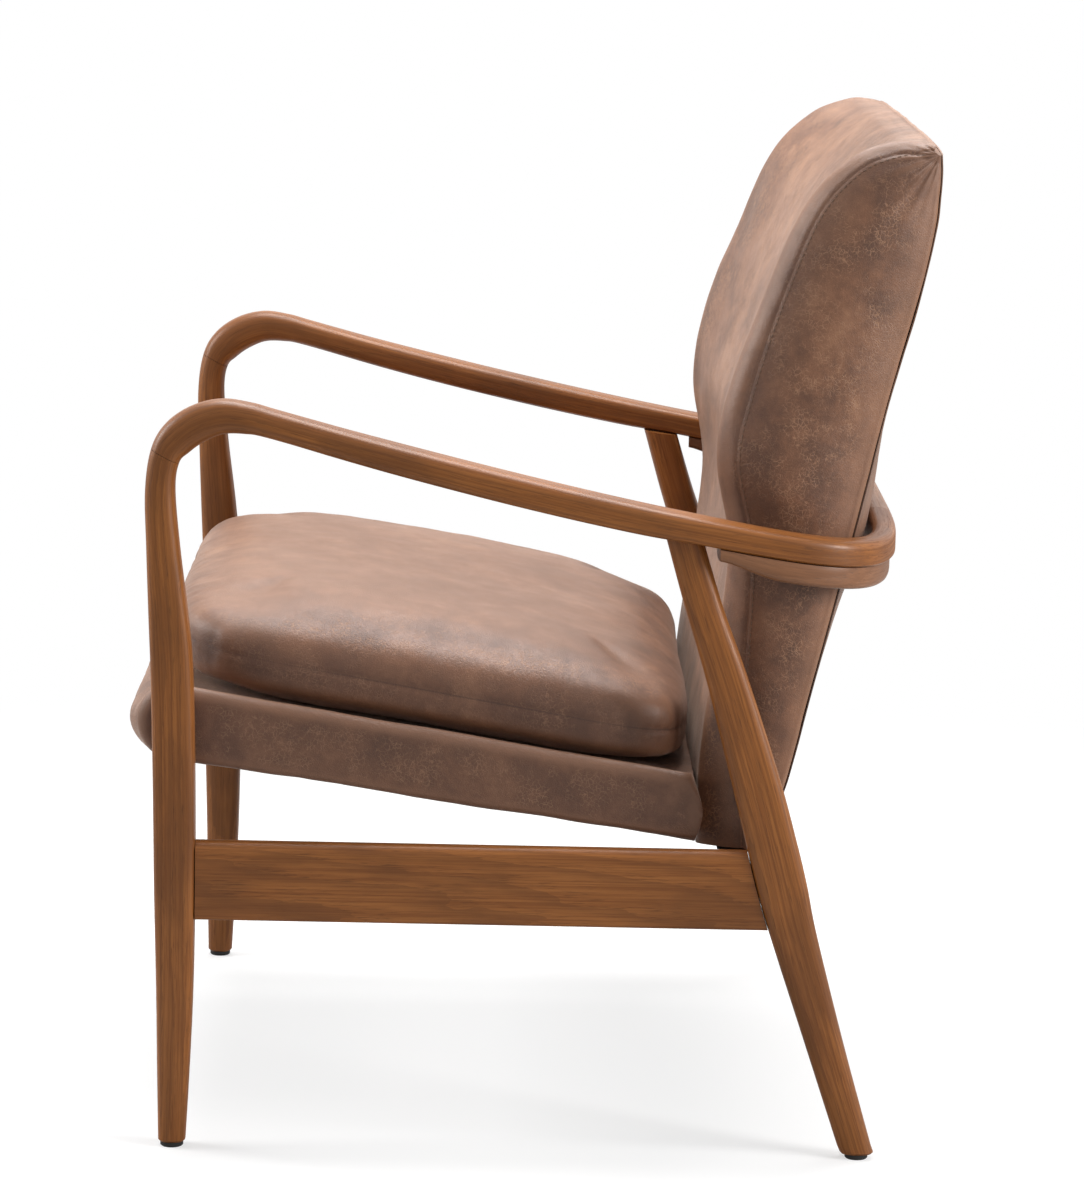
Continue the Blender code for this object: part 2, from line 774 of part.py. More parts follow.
def base_edge(x, y):
    """Height of the lower edge of the seat base, rounded up in front of the nose's middle."""
    nose_y = seat_front_y + nose_reach
    if y >= nose_y:
        return base_height(y)
    half = 0.5 * (deck_height(nose_y) - base_height(nose_y))
    share = (nose_y - y) / (nose_reach - nose_draw(x))
    return base_height(nose_y) + half * (1 - math.sqrt(1 - share * share))


def nose_draw(x):
    """How far the front of the base is drawn back where it rounds off towards its sides."""
    past = max(0.0, abs(x) - seat_half_width + nose_corner) / nose_corner
    return nose_corner_draw * past * past


def base_path(x, rear_y, lip_y):
    """Side view of the base: the deck forwards, round the front, and back underneath."""
    nose_y = seat_front_y + nose_reach
    middle = 0.5 * (deck_height(nose_y) + base_height(nose_y))
    half = 0.5 * (deck_height(nose_y) - base_height(nose_y))
    reach = nose_reach - nose_draw(x)
    path = [Vector((rear_y, deck_height(rear_y)))]
    for i in range(nose_steps + 1):
        angle = math.pi * i / nose_steps
        path.append(Vector((nose_y - reach * math.sin(angle), middle + half * math.cos(angle))))
    path.append(Vector((lip_y, base_height(lip_y))))
    return path


def across_rings(outline, stations):
    """The same (y, z) outline at several places across the chair."""
    return [[Vector((x, y, z)) for y, z in outline] for x in stations]


def add_plank(bm, outline, low, high):
    """A flat board of a (y, z) outline between two places across the chair."""
    add_loft(bm, across_rings(outline, (low, high)))


def plank(name, outline, low, high, finish):
    """One board as an object."""
    bm = bmesh.new()
    add_plank(bm, outline, low, high)
    return make_object(name, bm, finish)


def sloped_slab(front_y, rear_y, top_drop, bottom_drop):
    """Outline between two depths under the deck."""
    return [Vector((front_y, deck_height(front_y) - top_drop)),
            Vector((rear_y, deck_height(rear_y) - top_drop)),
            Vector((rear_y, deck_height(rear_y) - bottom_drop)),
            Vector((front_y, deck_height(front_y) - bottom_drop))]


def rail_outline(x, front_y, rear_y):
    """Side view of a piece of the seat frame, from under the webbing to above the dust cloth."""
    low = leather + fill_gap
    outline = [Vector((front_y, deck_height(front_y) - rail_drop)),
               Vector((rear_y, deck_height(rear_y) - rail_drop)),
               Vector((rear_y, base_edge(x, rear_y) + low))]
    nose_y = seat_front_y + nose_reach
    if front_y < nose_y < rear_y:
        outline.append(Vector((nose_y, base_edge(x, nose_y) + low)))
    return outline + [Vector((front_y, base_edge(x, front_y) + low))]


def make_seat_frame(bolt_bores, back_bolt_bores):
    """Rails, webbing and dust cloth of the seat base."""
    outer = seat_half_width - leather - gap
    inner = outer - rail_thickness
    front_y = seat_front_y + leather + gap + front_roll
    rear_y = seat_rear_y - gap
    for word, side in SIDES:
        rail = plank("seat_rail_" + word, rail_outline(outer, front_y, rear_y), side * inner, side * outer,
                     beech_finish)
        carve(rail, bolt_bores)
    reach = inner - gap
    plank("seat_rail_front", rail_outline(inner, front_y, front_y + front_rail_thickness), -reach, reach,
          beech_finish)
    rear = plank("seat_rail_rear", rail_outline(inner, rear_y - rail_thickness, rear_y), -reach, reach,
                 beech_finish)
    carve(rear, back_bolt_bores)
    make_webbing(front_y, rear_y, inner, outer)

    start = seat_front_y + nose_reach + nose_lip + dust_margin
    cloth = [Vector((y, base_height(y) + leather + gap - drop)) for y, drop in (
        (start, 0), (rear_y, 0), (rear_y, dust_cloth), (start, dust_cloth))]
    plank("seat_dust_cover", cloth, -(outer - dust_margin), outer - dust_margin, dust_finish)


def make_webbing(front_y, rear_y, inner, outer):
    """Elastic straps over the seat frame, interlaced and stapled as one net."""
    bm = bmesh.new()
    drop = deck_pad + gap
    add_plank(bm, sloped_slab(front_y, rear_y, drop, drop + strap_thickness), -outer, outer)
    net = make_object("seat_webbing", bm, webbing_finish)
    windows = bmesh.new()
    pitch_x = (2 * outer + strap_width) / long_straps
    start_y, end_y = front_y + strap_width, rear_y - rail_thickness
    pitch_y = (end_y - start_y + strap_width) / cross_straps
    for i in range(long_straps):
        for j in range(cross_straps):
            left = -outer + i * pitch_x
            right = left + pitch_x - strap_width
            front = start_y + j * pitch_y
            rear = front + pitch_y - strap_width
            if right < outer and min(right - left, rear - front) > gap:
                add_plank(windows, sloped_slab(front, rear, drop - overrun, drop + strap_thickness + overrun),
                          left + (strap_width if i == 0 else 0), right)
    carve(net, make_guide("webbing_windows", windows))


# Where the base's rings stand in the rounding at its sides
nose_ring_shares = (0.0, 0.35, 0.65, 0.85)


def nose_stations(outer):
    """Places across the base, closer together in the rounding at its sides."""
    start = seat_half_width - nose_corner
    half = [mix(start, seat_half_width, share) for share in nose_ring_shares] + [outer]
    return [-x for x in reversed(half)] + [0.0] + half


def make_seat_upholstery(bolt_bores):
    """Deck foam with its front roll, the leather over it and the two side panels."""
    rear_y = seat_rear_y - gap
    lip_y = seat_front_y + nose_reach + nose_lip
    edge = 0.5 * leather
    rings = []
    for x in nose_stations(seat_half_width):
        path = base_path(x, rear_y, lip_y)
        outline = offset_path(path, edge) if abs(x) == seat_half_width else path
        rings.append([Vector((x, y, z)) for y, z in outline + offset_path(path, leather)[::-1]])
    loft("seat_cover", rings, leather_finish)

    outer = seat_half_width - leather - gap
    past_y = rear_y + leather + gap
    panel = offset_path(base_path(seat_half_width, past_y, past_y), leather + gap, closed=True)
    for word, side in SIDES:
        made = plank("seat_side_panel_" + word, panel, side * (outer + gap), side * seat_half_width,
                     leather_finish)
        carve(made, bolt_bores)

    front_y = seat_front_y + leather + front_roll
    skin = leather + fill_gap
    rings = []
    for x in nose_stations(outer):
        path = offset_path(base_path(x, rear_y, lip_y), skin)
        half = len(path) // 2
        low = base_edge(x, front_y) + skin
        outline = [point if i < half else Vector((min(point.x, front_y), max(point.y, low)))
                   for i, point in enumerate(path[:-1])]
        outline += [Vector((front_y, deck_height(front_y) - deck_pad)),
                    Vector((rear_y, deck_height(rear_y) - deck_pad))]
        rings.append([Vector((x, y, z)) for y, z in outline])
    loft("seat_foam", rings, foam_finish)


# Loose seat cushion

def cushion_outline(share, shrink):
    """Seen from above: a rounded rectangle whose sides draw in between its corners."""
    outline = []
    half_depth = 0.5 * (cushion_rear_y - cushion_front_y)
    for i in range(cushion_sides):
        angle = 2 * math.pi * (i + 0.5) / cushion_sides
        a, b = superellipse(angle, mix(cushion_crown_squareness, cushion_corner_squareness, share))
        drawn = 1 - cushion_draw_in / cushion_half_width * share * math.cos(2 * angle) ** 2
        outline.append(((cushion_half_width * share * drawn - shrink) * a,
                        (half_depth * share * drawn - shrink) * b))
    return outline


def cushion_place(x, y, rise):
    """A point of the cushion, at a height measured from the deck; its rear leans with the back."""
    middle = 0.5 * (cushion_rear_y + cushion_front_y)
    lean = cushion_lean * max(0.0, rise - cushion_rear_seam) * ease(2 * cushion_depth_share(y) - 1)
    return Vector((x, middle + y + lean, deck_height(middle + y) + gap + rise))


def cushion_depth_share(y):
    """0 at the front of the cushion and 1 at its rear."""
    return 0.5 + y / (cushion_rear_y - cushion_front_y)


def cushion_crown(y):
    """Height of the crown over the seam, fullest in the middle."""
    share = min(1.0, max(0.0, cushion_depth_share(y)))
    ends = mix(cushion_front_crown, cushion_rear_crown, share)
    return mix(ends, cushion_middle_crown, math.sin(math.pi * share))


# Steps from the seam to the middle, as shares of a quarter turn
cushion_step_shares = (0.0, 0.12, 0.28, 0.46, 0.64, 0.80, 0.92)


def cushion_ring(step, way, inset):
    """One ring of the cushion's skin above (way 1) or below (way -1) its seam."""
    angle = 0.5 * math.pi * step
    fullness = cushion_top_fullness if way > 0 else cushion_low_fullness
    share = math.cos(angle) ** (2 / fullness)
    ring = []
    for x, y in cushion_outline(share, inset):
        rear = max(0.0, cushion_depth_share(y)) if way > 0 else 0.0
        lift = math.sin(angle) ** (2 / (fullness + rear))
        seam = mix(cushion_front_seam, cushion_rear_seam, cushion_depth_share(y))
        height = cushion_crown(y) if way > 0 else seam - gap
        ring.append(cushion_place(x, y, seam + way * (lift * (height - inset) + gap)))
    return ring


def make_cushion():
    """Top cover and bottom cover, joined at the seam, and the filling."""
    for name, way in (("cushion_cover_top", 1), ("cushion_cover_bottom", -1)):
        outside = [cushion_ring(step, way, 0) for step in reversed(cushion_step_shares)]
        inside = [cushion_ring(step, way, leather) for step in cushion_step_shares]
        loft(name, outside + inside, leather_finish)
    inset = leather + fill_gap
    below = [cushion_ring(step, -1, inset) for step in reversed(cushion_step_shares[1:])]
    above = [cushion_ring(step, 1, inset) for step in cushion_step_shares]
    loft("cushion_filling", below + above, foam_finish)


# Back

# Front face and rear face, bottom to top, as shares of the back's reach and height
back_front_shares = (
    (0.000, 0.007), (0.000, 0.078), (0.002, 0.139), (0.110, 0.404), (0.046, 0.550), (0.097, 0.651),
    (0.226, 0.777), (0.404, 0.909), (0.605, 0.976), (0.790, 0.999), (0.900, 0.999), (0.972, 0.992),
)
back_rear_shares = (
    (0.303, 0.000), (0.372, 0.078), (0.424, 0.139), (0.610, 0.392), (0.728, 0.550), (0.805, 0.651),
    (0.915, 0.777), (0.979, 0.873), (0.995, 0.922), (1.000, 0.952), (0.998, 0.969), (0.996, 0.980),
)
# Fullness of the side gusset at the same places, as a share of its largest bulge
back_side_shares = (1.0, 1.0, 1.0, 1.0, 1.0, 0.96, 0.90, 0.80, 0.62, 0.45, 0.30, 0.15)
# Depth of the hollow between the wings at the same places
back_hollow_shares = (0.0, 0.0, 0.0, 0.35, 0.80, 1.0, 1.0, 0.65, 0.30, 0.10, 0.0, 0.0)
# How far the front goes with the bow of the rear at the same places
back_follow_shares = (0.0, 0.0, 0.0, 0.0, 0.0, 0.0, 0.0, 0.0, 0.2, 0.5, 0.8, 1.0)

# A roll or a corner is never more than this share of the back's thickness
roll_limit_share = 0.4
corner_limit_share = 0.2

back_steps = 2


def back_curve(shares):
    """A face of the back as a smooth (y, z) path."""
    return spline([(back_foot_y + reach * back_reach, back_bottom + height * back_height)
                   for reach, height in shares], back_steps)


back_front = back_curve(back_front_shares)
back_rear = back_curve(back_rear_shares)
back_side_fullness = [value.x for value in spline([(share, 0) for share in back_side_shares], back_steps)]
back_hollowness = [value.x for value in spline([(share, 0) for share in back_hollow_shares], back_steps)]
back_follow = [value.x for value in spline([(share, 0) for share in back_follow_shares], back_steps)]
back_side_bulge = seat_half_width - back_half_width
frame_top = 8 * back_steps


def path_normals(path, way):
    """Inward directions of an upward path, towards +Y (way 1) or -Y (way -1)."""
    normals = []
    for i in range(len(path)):
        run = (path[min(i + 1, len(path) - 1)] - path[max(i - 1, 0)]).normalized()
        normals.append(Vector((run.y, -run.x)) * way)
    return normals


back_front_normals = path_normals(back_front, 1)
back_rear_normals = path_normals(back_rear, -1)


def half_width_at(i):
    """Half the width of the back at the seam, which narrows towards the top."""
    height = (back_front[i].y - back_bottom) / back_height
    return mix(back_half_width, back_top_half_width, ease((height - 0.5) * 2))


def roll_at(i):
    """Radius of the roll at the back's front edge, smaller where the side ends in a point."""
    return min(back_roll, roll_limit_share * (back_front[i] - back_rear[i]).length)


def bulge_at(z, x):
    """How far the rear face bows out at a height, fullest behind the bow."""
    top = back_bottom + back_height
    bow = bow_top_height - 0.5 * bow_thickness
    side = (z - bow) / (top - bow) if z > bow else (bow - z) / (bow - back_bottom)
    fullness = mix(back_bow_bulge, back_end_bulge, ease(min(1.0, side)))
    return fullness * (1 - min(1.0, abs(x) / back_half_width) ** 3)


def rear_line(z):
    """Y of the back's rear corners at a height."""
    return read_curve([Vector((point.y, point.x)) for point in back_rear], z).y


def rear_face(z, x):
    """Y of the back's rear face at a height and a place across."""
    return rear_line(z) + bulge_at(z, x)


# The rear face bows out until its leather all but meets the bow
back_bow_bulge = (bow_centre_y + bow_inner_reach - bow_clearance - leather - gap
                  - rear_line(bow_top_height - 0.5 * bow_thickness))


front_across_shares = (0.0, 0.35, 0.68, 0.9)
rear_across_shares = (0.0, 0.3, 0.6, 0.82, 0.94, 1.0)
roll_turn_shares = (0.0, 0.33, 0.66, 1.0)
rail_across_shares = (-1.0, -0.6, -0.2, 0.2, 0.6, 1.0)
side_shares = (0.25, 0.5, 0.75)


def front_point(i, x, inset, depth):
    """A point of the front face: hollowed between the wings, or turned in at the roll."""
    inner = half_width_at(i) - roll_at(i)
    hollow = back_hollow * back_hollowness[i] * max(0.0, 1 - (abs(x) / inner) ** 2)
    place = back_front[i] + back_front_normals[i] * (inset + hollow + depth)
    return Vector((x, place.x + back_follow[i] * bulge_at(place.y, x), place.y))


def front_half(i, depth):
    """Front skin from the middle to the seam with the gusset, one side."""
    roll, half = roll_at(i), half_width_at(i)
    points = [front_point(i, (half - roll) * share, 0, depth) for share in front_across_shares]
    for share in roll_turn_shares:
        angle = 0.5 * math.pi * share
        x = half - roll + (roll - depth) * math.sin(angle)
        points.append(front_point(i, x, roll - (roll - depth) * math.cos(angle) - depth, depth))
    return points


def side_half(i, depth):
    """Side skin between the seam and the rear corner."""
    half = half_width_at(i)
    corner = min(back_rear_roll, corner_limit_share * (back_front[i] - back_rear[i]).length)
    start = back_front[i] + back_front_normals[i] * roll_at(i)
    end = back_rear[i] + back_rear_normals[i] * corner
    points = []
    for share in side_shares:
        place = mix(start, end, share)
        bulge = back_side_bulge * back_side_fullness[i] * 4 * share * (1 - share)
        points.append(Vector((half - depth + bulge, place.x, place.y)))
    for share in (0.0, 0.5, 1.0):
        angle = 0.5 * math.pi * share
        x = half - corner + (corner - depth) * math.cos(angle)
        place = back_rear[i] + back_rear_normals[i] * (corner - (corner - depth) * math.sin(angle))
        points.append(Vector((x, place.x + bulge_at(place.y, x), place.y)))
    return points


def rear_point(i, x, depth):
    """A point of the rear face, bowed out across the chair."""
    place = back_rear[i] + back_rear_normals[i] * depth
    return Vector((x, place.x + bulge_at(place.y, x), place.y))


def mirrored(points):
    """The same points on the other side of the chair."""
    return [Vector((-point.x, point.y, point.z)) for point in points]


def both_sides(points):
    """A run of points from one side over the middle to the other."""
    return mirrored(points[1:])[::-1] + points


def post_outer_at(i):
    """Outer face of the back post, kept inside the narrowing back."""
    return half_width_at(i) - post_margin


post_inner_x = back_half_width - post_margin - post_thickness


def make_back_covers(bores):
    """Front cover, gussets and outside panel, each a leather shell."""
    count = len(back_front)
    rings = []
    for i in range(count):
        rings.append(both_sides(front_half(i, 0)) + both_sides(front_half(i, leather))[::-1])
    hem = []
    for rise in (leather, 0.0):
        points = [rear_point(count - 1, point.x, 0) for point in front_half(count - 1, leather - rise)]
        hem.append(both_sides([point + Vector((0, 0, 2 * gap + rise)) for point in points]))
    rings.append(hem[0] + hem[1][::-1])
    carve(loft("back_front_cover", rings, leather_finish), *bores)

    for word, side in SIDES:
        rings = []
        for i in range(count):
            seam = front_half(i, 0)[-1], front_half(i, leather)[-1]
            step = Vector((0, back_front_normals[i].x, back_front_normals[i].y)) * gap
            wrap = half_width_at(i) - back_rear_roll - gusset_wrap
            outside = [seam[0] + step] + side_half(i, 0) + [rear_point(i, wrap, 0)]
            inside = [seam[1] + step] + side_half(i, leather) + [rear_point(i, wrap, leather)]
            ring = outside + inside[::-1]
            rings.append(ring if side > 0 else mirrored(ring))
        carve(loft("back_gusset_" + word, rings, leather_finish), *bores)

    rings = []
    for i in range(count):
        reach = half_width_at(i) - back_rear_roll
        outside = [rear_point(i, reach * share, -2 * gap - leather) for share in rear_across_shares]
        inside = [rear_point(i, reach * share, -2 * gap) for share in rear_across_shares]
        rings.append(both_sides(outside) + both_sides(inside)[::-1])
    carve(loft("back_outside_panel", rings, leather_finish), *bores)


def frame_depth_at(i):
    """Depth of the back frame's space, less where the back thins out at the top."""
    return min(back_frame_inset + back_frame_depth, 0.5 * (back_front[i] - back_rear[i]).length)


def make_back_foam(bores):
    """Foam over the front and the sides of the back frame, open at the rear."""
    skin = leather + fill_gap
    rings = []
    for i in range(len(back_front)):
        outside = front_half(i, skin) + side_half(i, skin)
        depth = frame_depth_at(i) + fill_gap
        edge = post_outer_at(i) + fill_gap
        inside = [rear_point(i, edge * share, depth) for share in rear_across_shares]
        inside.append(rear_point(i, edge, skin))
        rings.append(both_sides(outside) + both_sides(inside)[::-1])
    carve(loft("back_foam", rings, foam_finish), *bores)


# Heights of the back's rails, as shares of the back's height
bottom_rail_share = 0.043
top_rail_share = 0.840


def back_rail_middle(word):
    """Height of the middle of a rail; the middle rail stands behind the bow."""
    if word == "middle":
        return bow_top_height - 0.5 * bow_thickness
    share = bottom_rail_share if word == "bottom" else top_rail_share
    return back_bottom + share * back_height


def make_back_frame(bores):
    """Two posts and three bowed rails."""
    for word, side in SIDES:
        rings = []
        for i in range(frame_top + 1):
            outer = post_outer_at(i)
            inner = outer - post_thickness
            depth = frame_depth_at(i)
            ring = [rear_point(i, outer, back_frame_inset), rear_point(i, inner, back_frame_inset),
                    rear_point(i, inner, depth), rear_point(i, outer, depth)]
            rings.append(ring if side > 0 else mirrored(ring))
        carve(loft("back_post_" + word, rings, beech_finish), *bores)
    for word in ("bottom", "middle", "top"):
        middle = back_rail_middle(word)
        low, high = middle - 0.5 * back_rail_height, middle + 0.5 * back_rail_height
        level = next(i for i, point in enumerate(back_rear) if point.y > high)
        reach = post_outer_at(level) - post_thickness - 2 * gap
        rings = []
        for share in rail_across_shares:
            x = share * reach
            rings.append([Vector((x, rear_face(z, x) - back_frame_inset - depth, z))
                          for z, depth in ((low, 0), (high, 0), (high, back_rail_depth),
                                           (low, back_rail_depth))])
        carve(loft("back_rail_" + word, rings, beech_finish), *bores)


def make_back_dust_cover():
    """Dark cloth that closes the bottom of the back."""
    front, rear = back_front[0], back_rear[0]
    run = (rear - front).normalized()
    down = Vector((run.y, -run.x))
    inset = leather + back_roll
    low, high = front + run * inset, rear - run * 2 * leather
    cloth = [low + down * gap, high + down * gap, high + down * (gap + dust_cloth),
             low + down * (gap + dust_cloth)]
    reach = back_half_width - dust_margin
    plank("back_dust_cover", cloth, -reach, reach, dust_finish)


def assemble():
    """Parents each piece to its sub-assembly; the cushion's empty is what lifts it out."""
    seat_middle = 0.5 * (cushion_front_y + cushion_rear_y)
    places = {
        "left_side_frame": Vector((frame_half_width, front_leg_y, 0)),
        "right_side_frame": Vector((-frame_half_width, front_leg_y, 0)),
        "rear_bow": Vector((0, bow_centre_y + bow_inner_reach, bow_top_height)),
        "loose_cushion": Vector((0, seat_middle, deck_height(seat_middle))),
        "seat_base": Vector((0, seat_rear_y, seat_rear_height)),
        "reclined_back": Vector((0, back_foot_y, back_bottom)),
    }
    pieces = {name: [] for name in places}
    for piece in bpy.data.objects:
        if piece.hide_render:
            continue
        if piece.name.startswith("cushion"):
            pieces["loose_cushion"].append(piece)
        elif piece.name.startswith("seat"):
            pieces["seat_base"].append(piece)
        elif piece.name.startswith(("bow", "back_bow")):
            pieces["rear_bow"].append(piece)
        elif piece.name.startswith("back"):
            pieces["reclined_back"].append(piece)
        else:
            pieces[piece.name.rsplit("_", 1)[1] + "_side_frame"].append(piece)
    for name, place in places.items():
        gather(name, place, pieces[name])


def main():
    clear_scene()
    bolt_bores = make_leg_bolts()
    back_bolt_bores = make_back_bolts()
    bow_bolt_bores = make_bow_bolts()
    bow_screw_bores = make_bow_screws()
    spigots = [make_side_frame(word, side, bolt_bores, bow_screw_bores) for word, side in SIDES]
    make_bow(spigots, bow_bolt_bores, bow_screw_bores)
    make_glides()
    make_seat_frame(bolt_bores, back_bolt_bores)
    make_seat_upholstery(bolt_bores)
    make_cushion()
    bores = (bolt_bores, back_bolt_bores, bow_bolt_bores)
    make_back_covers(bores)
    make_back_foam(bores)
    make_back_frame(bores)
    make_back_dust_cover()
    assemble()


main()
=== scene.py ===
"""Looks of an upholstered lounge chair: two timber side frames, a bow behind the back, leather seat and back.

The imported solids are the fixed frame. Each sub-assembly is a class that builds its pieces in metres,
in the same frame, with +Z up and the chair facing -Y, and dresses them with its finishes.
"""

import logging
import math
from dataclasses import dataclass, field
from enum import Enum
from typing import Any, Callable, Iterable, Sequence

import bmesh
import bpy
import numpy as np
from mathutils import Matrix, Vector, noise
from mathutils.bvhtree import BVHTree
from mathutils.kdtree import KDTree


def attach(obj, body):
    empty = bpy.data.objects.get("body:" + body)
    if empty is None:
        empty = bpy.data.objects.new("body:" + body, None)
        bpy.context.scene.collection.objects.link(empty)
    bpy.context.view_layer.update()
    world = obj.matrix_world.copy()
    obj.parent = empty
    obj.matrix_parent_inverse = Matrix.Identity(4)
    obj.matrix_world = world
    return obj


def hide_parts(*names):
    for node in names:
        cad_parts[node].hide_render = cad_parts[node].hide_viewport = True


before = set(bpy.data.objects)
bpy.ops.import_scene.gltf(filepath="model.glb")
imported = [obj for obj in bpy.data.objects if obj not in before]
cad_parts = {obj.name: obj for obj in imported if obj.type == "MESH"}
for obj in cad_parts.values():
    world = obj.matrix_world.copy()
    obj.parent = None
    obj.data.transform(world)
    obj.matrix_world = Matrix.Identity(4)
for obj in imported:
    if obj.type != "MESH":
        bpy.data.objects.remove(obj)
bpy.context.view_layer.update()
LOG = logging.getLogger("lounge_chair")
MM = 0.001
QUARTER_TURN = 0.5 * math.pi

Array = np.ndarray
Finish = bpy.types.Material
Piece = bpy.types.Object
Ring = list[Vector]
Socket = bpy.types.NodeSocket


class Body(Enum):
    """The two bodies of the chair."""

    FRAME = "frame"
    CUSHION = "cushion"


class Slot(Enum):
    """Names of the record's material slots."""

    LEATHER = "leather"
    TIMBER = "stained_timber"
    GLIDE = "glide"


class Side(Enum):
    """The sitter's left and right, with the sign of X on that side."""

    LEFT = 1
    RIGHT = -1

    @property
    def word(self) -> str:
        """The side as it stands in a piece's name."""
        return self.name.lower()


# Measures and curves

def mix(low: Any, high: Any, share: Any) -> Any:
    """The value or point at a share of the way from low to high."""
    return low + (high - low) * share


def ease(share: float) -> float:
    """A soft step from 0 to 1."""
    share = min(1.0, max(0.0, share))
    return share * share * (3 - 2 * share)


def bell(distance: Array, width: float) -> Array:
    """1 at no distance, falling away smoothly over a width."""
    return np.exp(-(distance / width) ** 2)


def run_along(line: Array) -> Array:
    """How far along a line each of its points lies."""
    return np.concatenate([[0.0], np.cumsum(np.linalg.norm(np.diff(line, axis=0), axis=1))])


def middle_of(ring: Ring) -> Vector:
    """Middle of a ring's points."""
    return sum(ring, Vector((0, 0, 0))) / len(ring)


def spline(points: Sequence[Sequence[float]], steps: int) -> Array:
    """A smooth curve through given rows of numbers.

    Args:
        points: The rows, each a point of any number of values.
        steps: Steps to each span between two rows.

    Returns:
        The rows of the curve, from the first point to the last.
    """
    rows = np.array(points, float)
    padded = np.vstack([rows[:1], rows, rows[-1:]])
    curve = []
    for i in range(len(rows) - 1):
        before, start, end, after = padded[i:i + 4]
        for t in np.arange(steps) / steps:
            curve.append(0.5 * (2 * start + (end - before) * t
                                + (2 * before - 5 * start + 4 * end - after) * t * t
                                + (3 * start - before - 3 * end + after) * t ** 3))
    return np.array(curve + [rows[-1]])


def superellipse(angles: float | Array, squareness: float | Array) -> Array:
    """Points of a unit superellipse.

    Args:
        angles: Their directions.
        squareness: 2 is a circle, and large values come near a square.

    Returns:
        One point an angle.
    """
    c, s = np.cos(angles), np.sin(angles)
    reach = (np.abs(c) ** squareness + np.abs(s) ** squareness) ** (-1 / squareness)
    return np.stack([c * reach, s * reach], -1)


def section(centre: Vector, across: Vector, upward: Vector, squareness: float, sides: int,
            under: float | None = None) -> Ring:
    """A rounded closed section of a timber member.

    Args:
        centre: Middle of the section.
        across: Half axis to its side.
        upward: Half axis to its top.
        squareness: 2 is an ellipse, and large values come near a rectangle.
        sides: Number of points.
        under: Squareness of the lower half, where it differs.

    Returns:
        The points of the ring.
    """
    angles = 2 * math.pi * (np.arange(sides) + 0.5) / sides
    full = np.where(angles > math.pi, under or squareness, squareness)
    return [centre + across * a + upward * b for a, b in superellipse(angles, full)]


@dataclass(frozen=True)
class Wave:
    """Smooth noise over a surface: its height, the size of its features and where it starts."""

    height: float
    size: float
    seed: float

    def at(self, points: Array) -> Array:
        """Its height at each point."""
        shift = Vector((self.seed, 1.7 * self.seed, -self.seed))
        return self.height * np.array([noise.noise(Vector(point) / self.size + shift) for point in points])


def waves_at(waves: Iterable[Wave], points: Array) -> Array:
    """Height of several waves together at each point."""
    return sum(wave.at(points) for wave in waves)


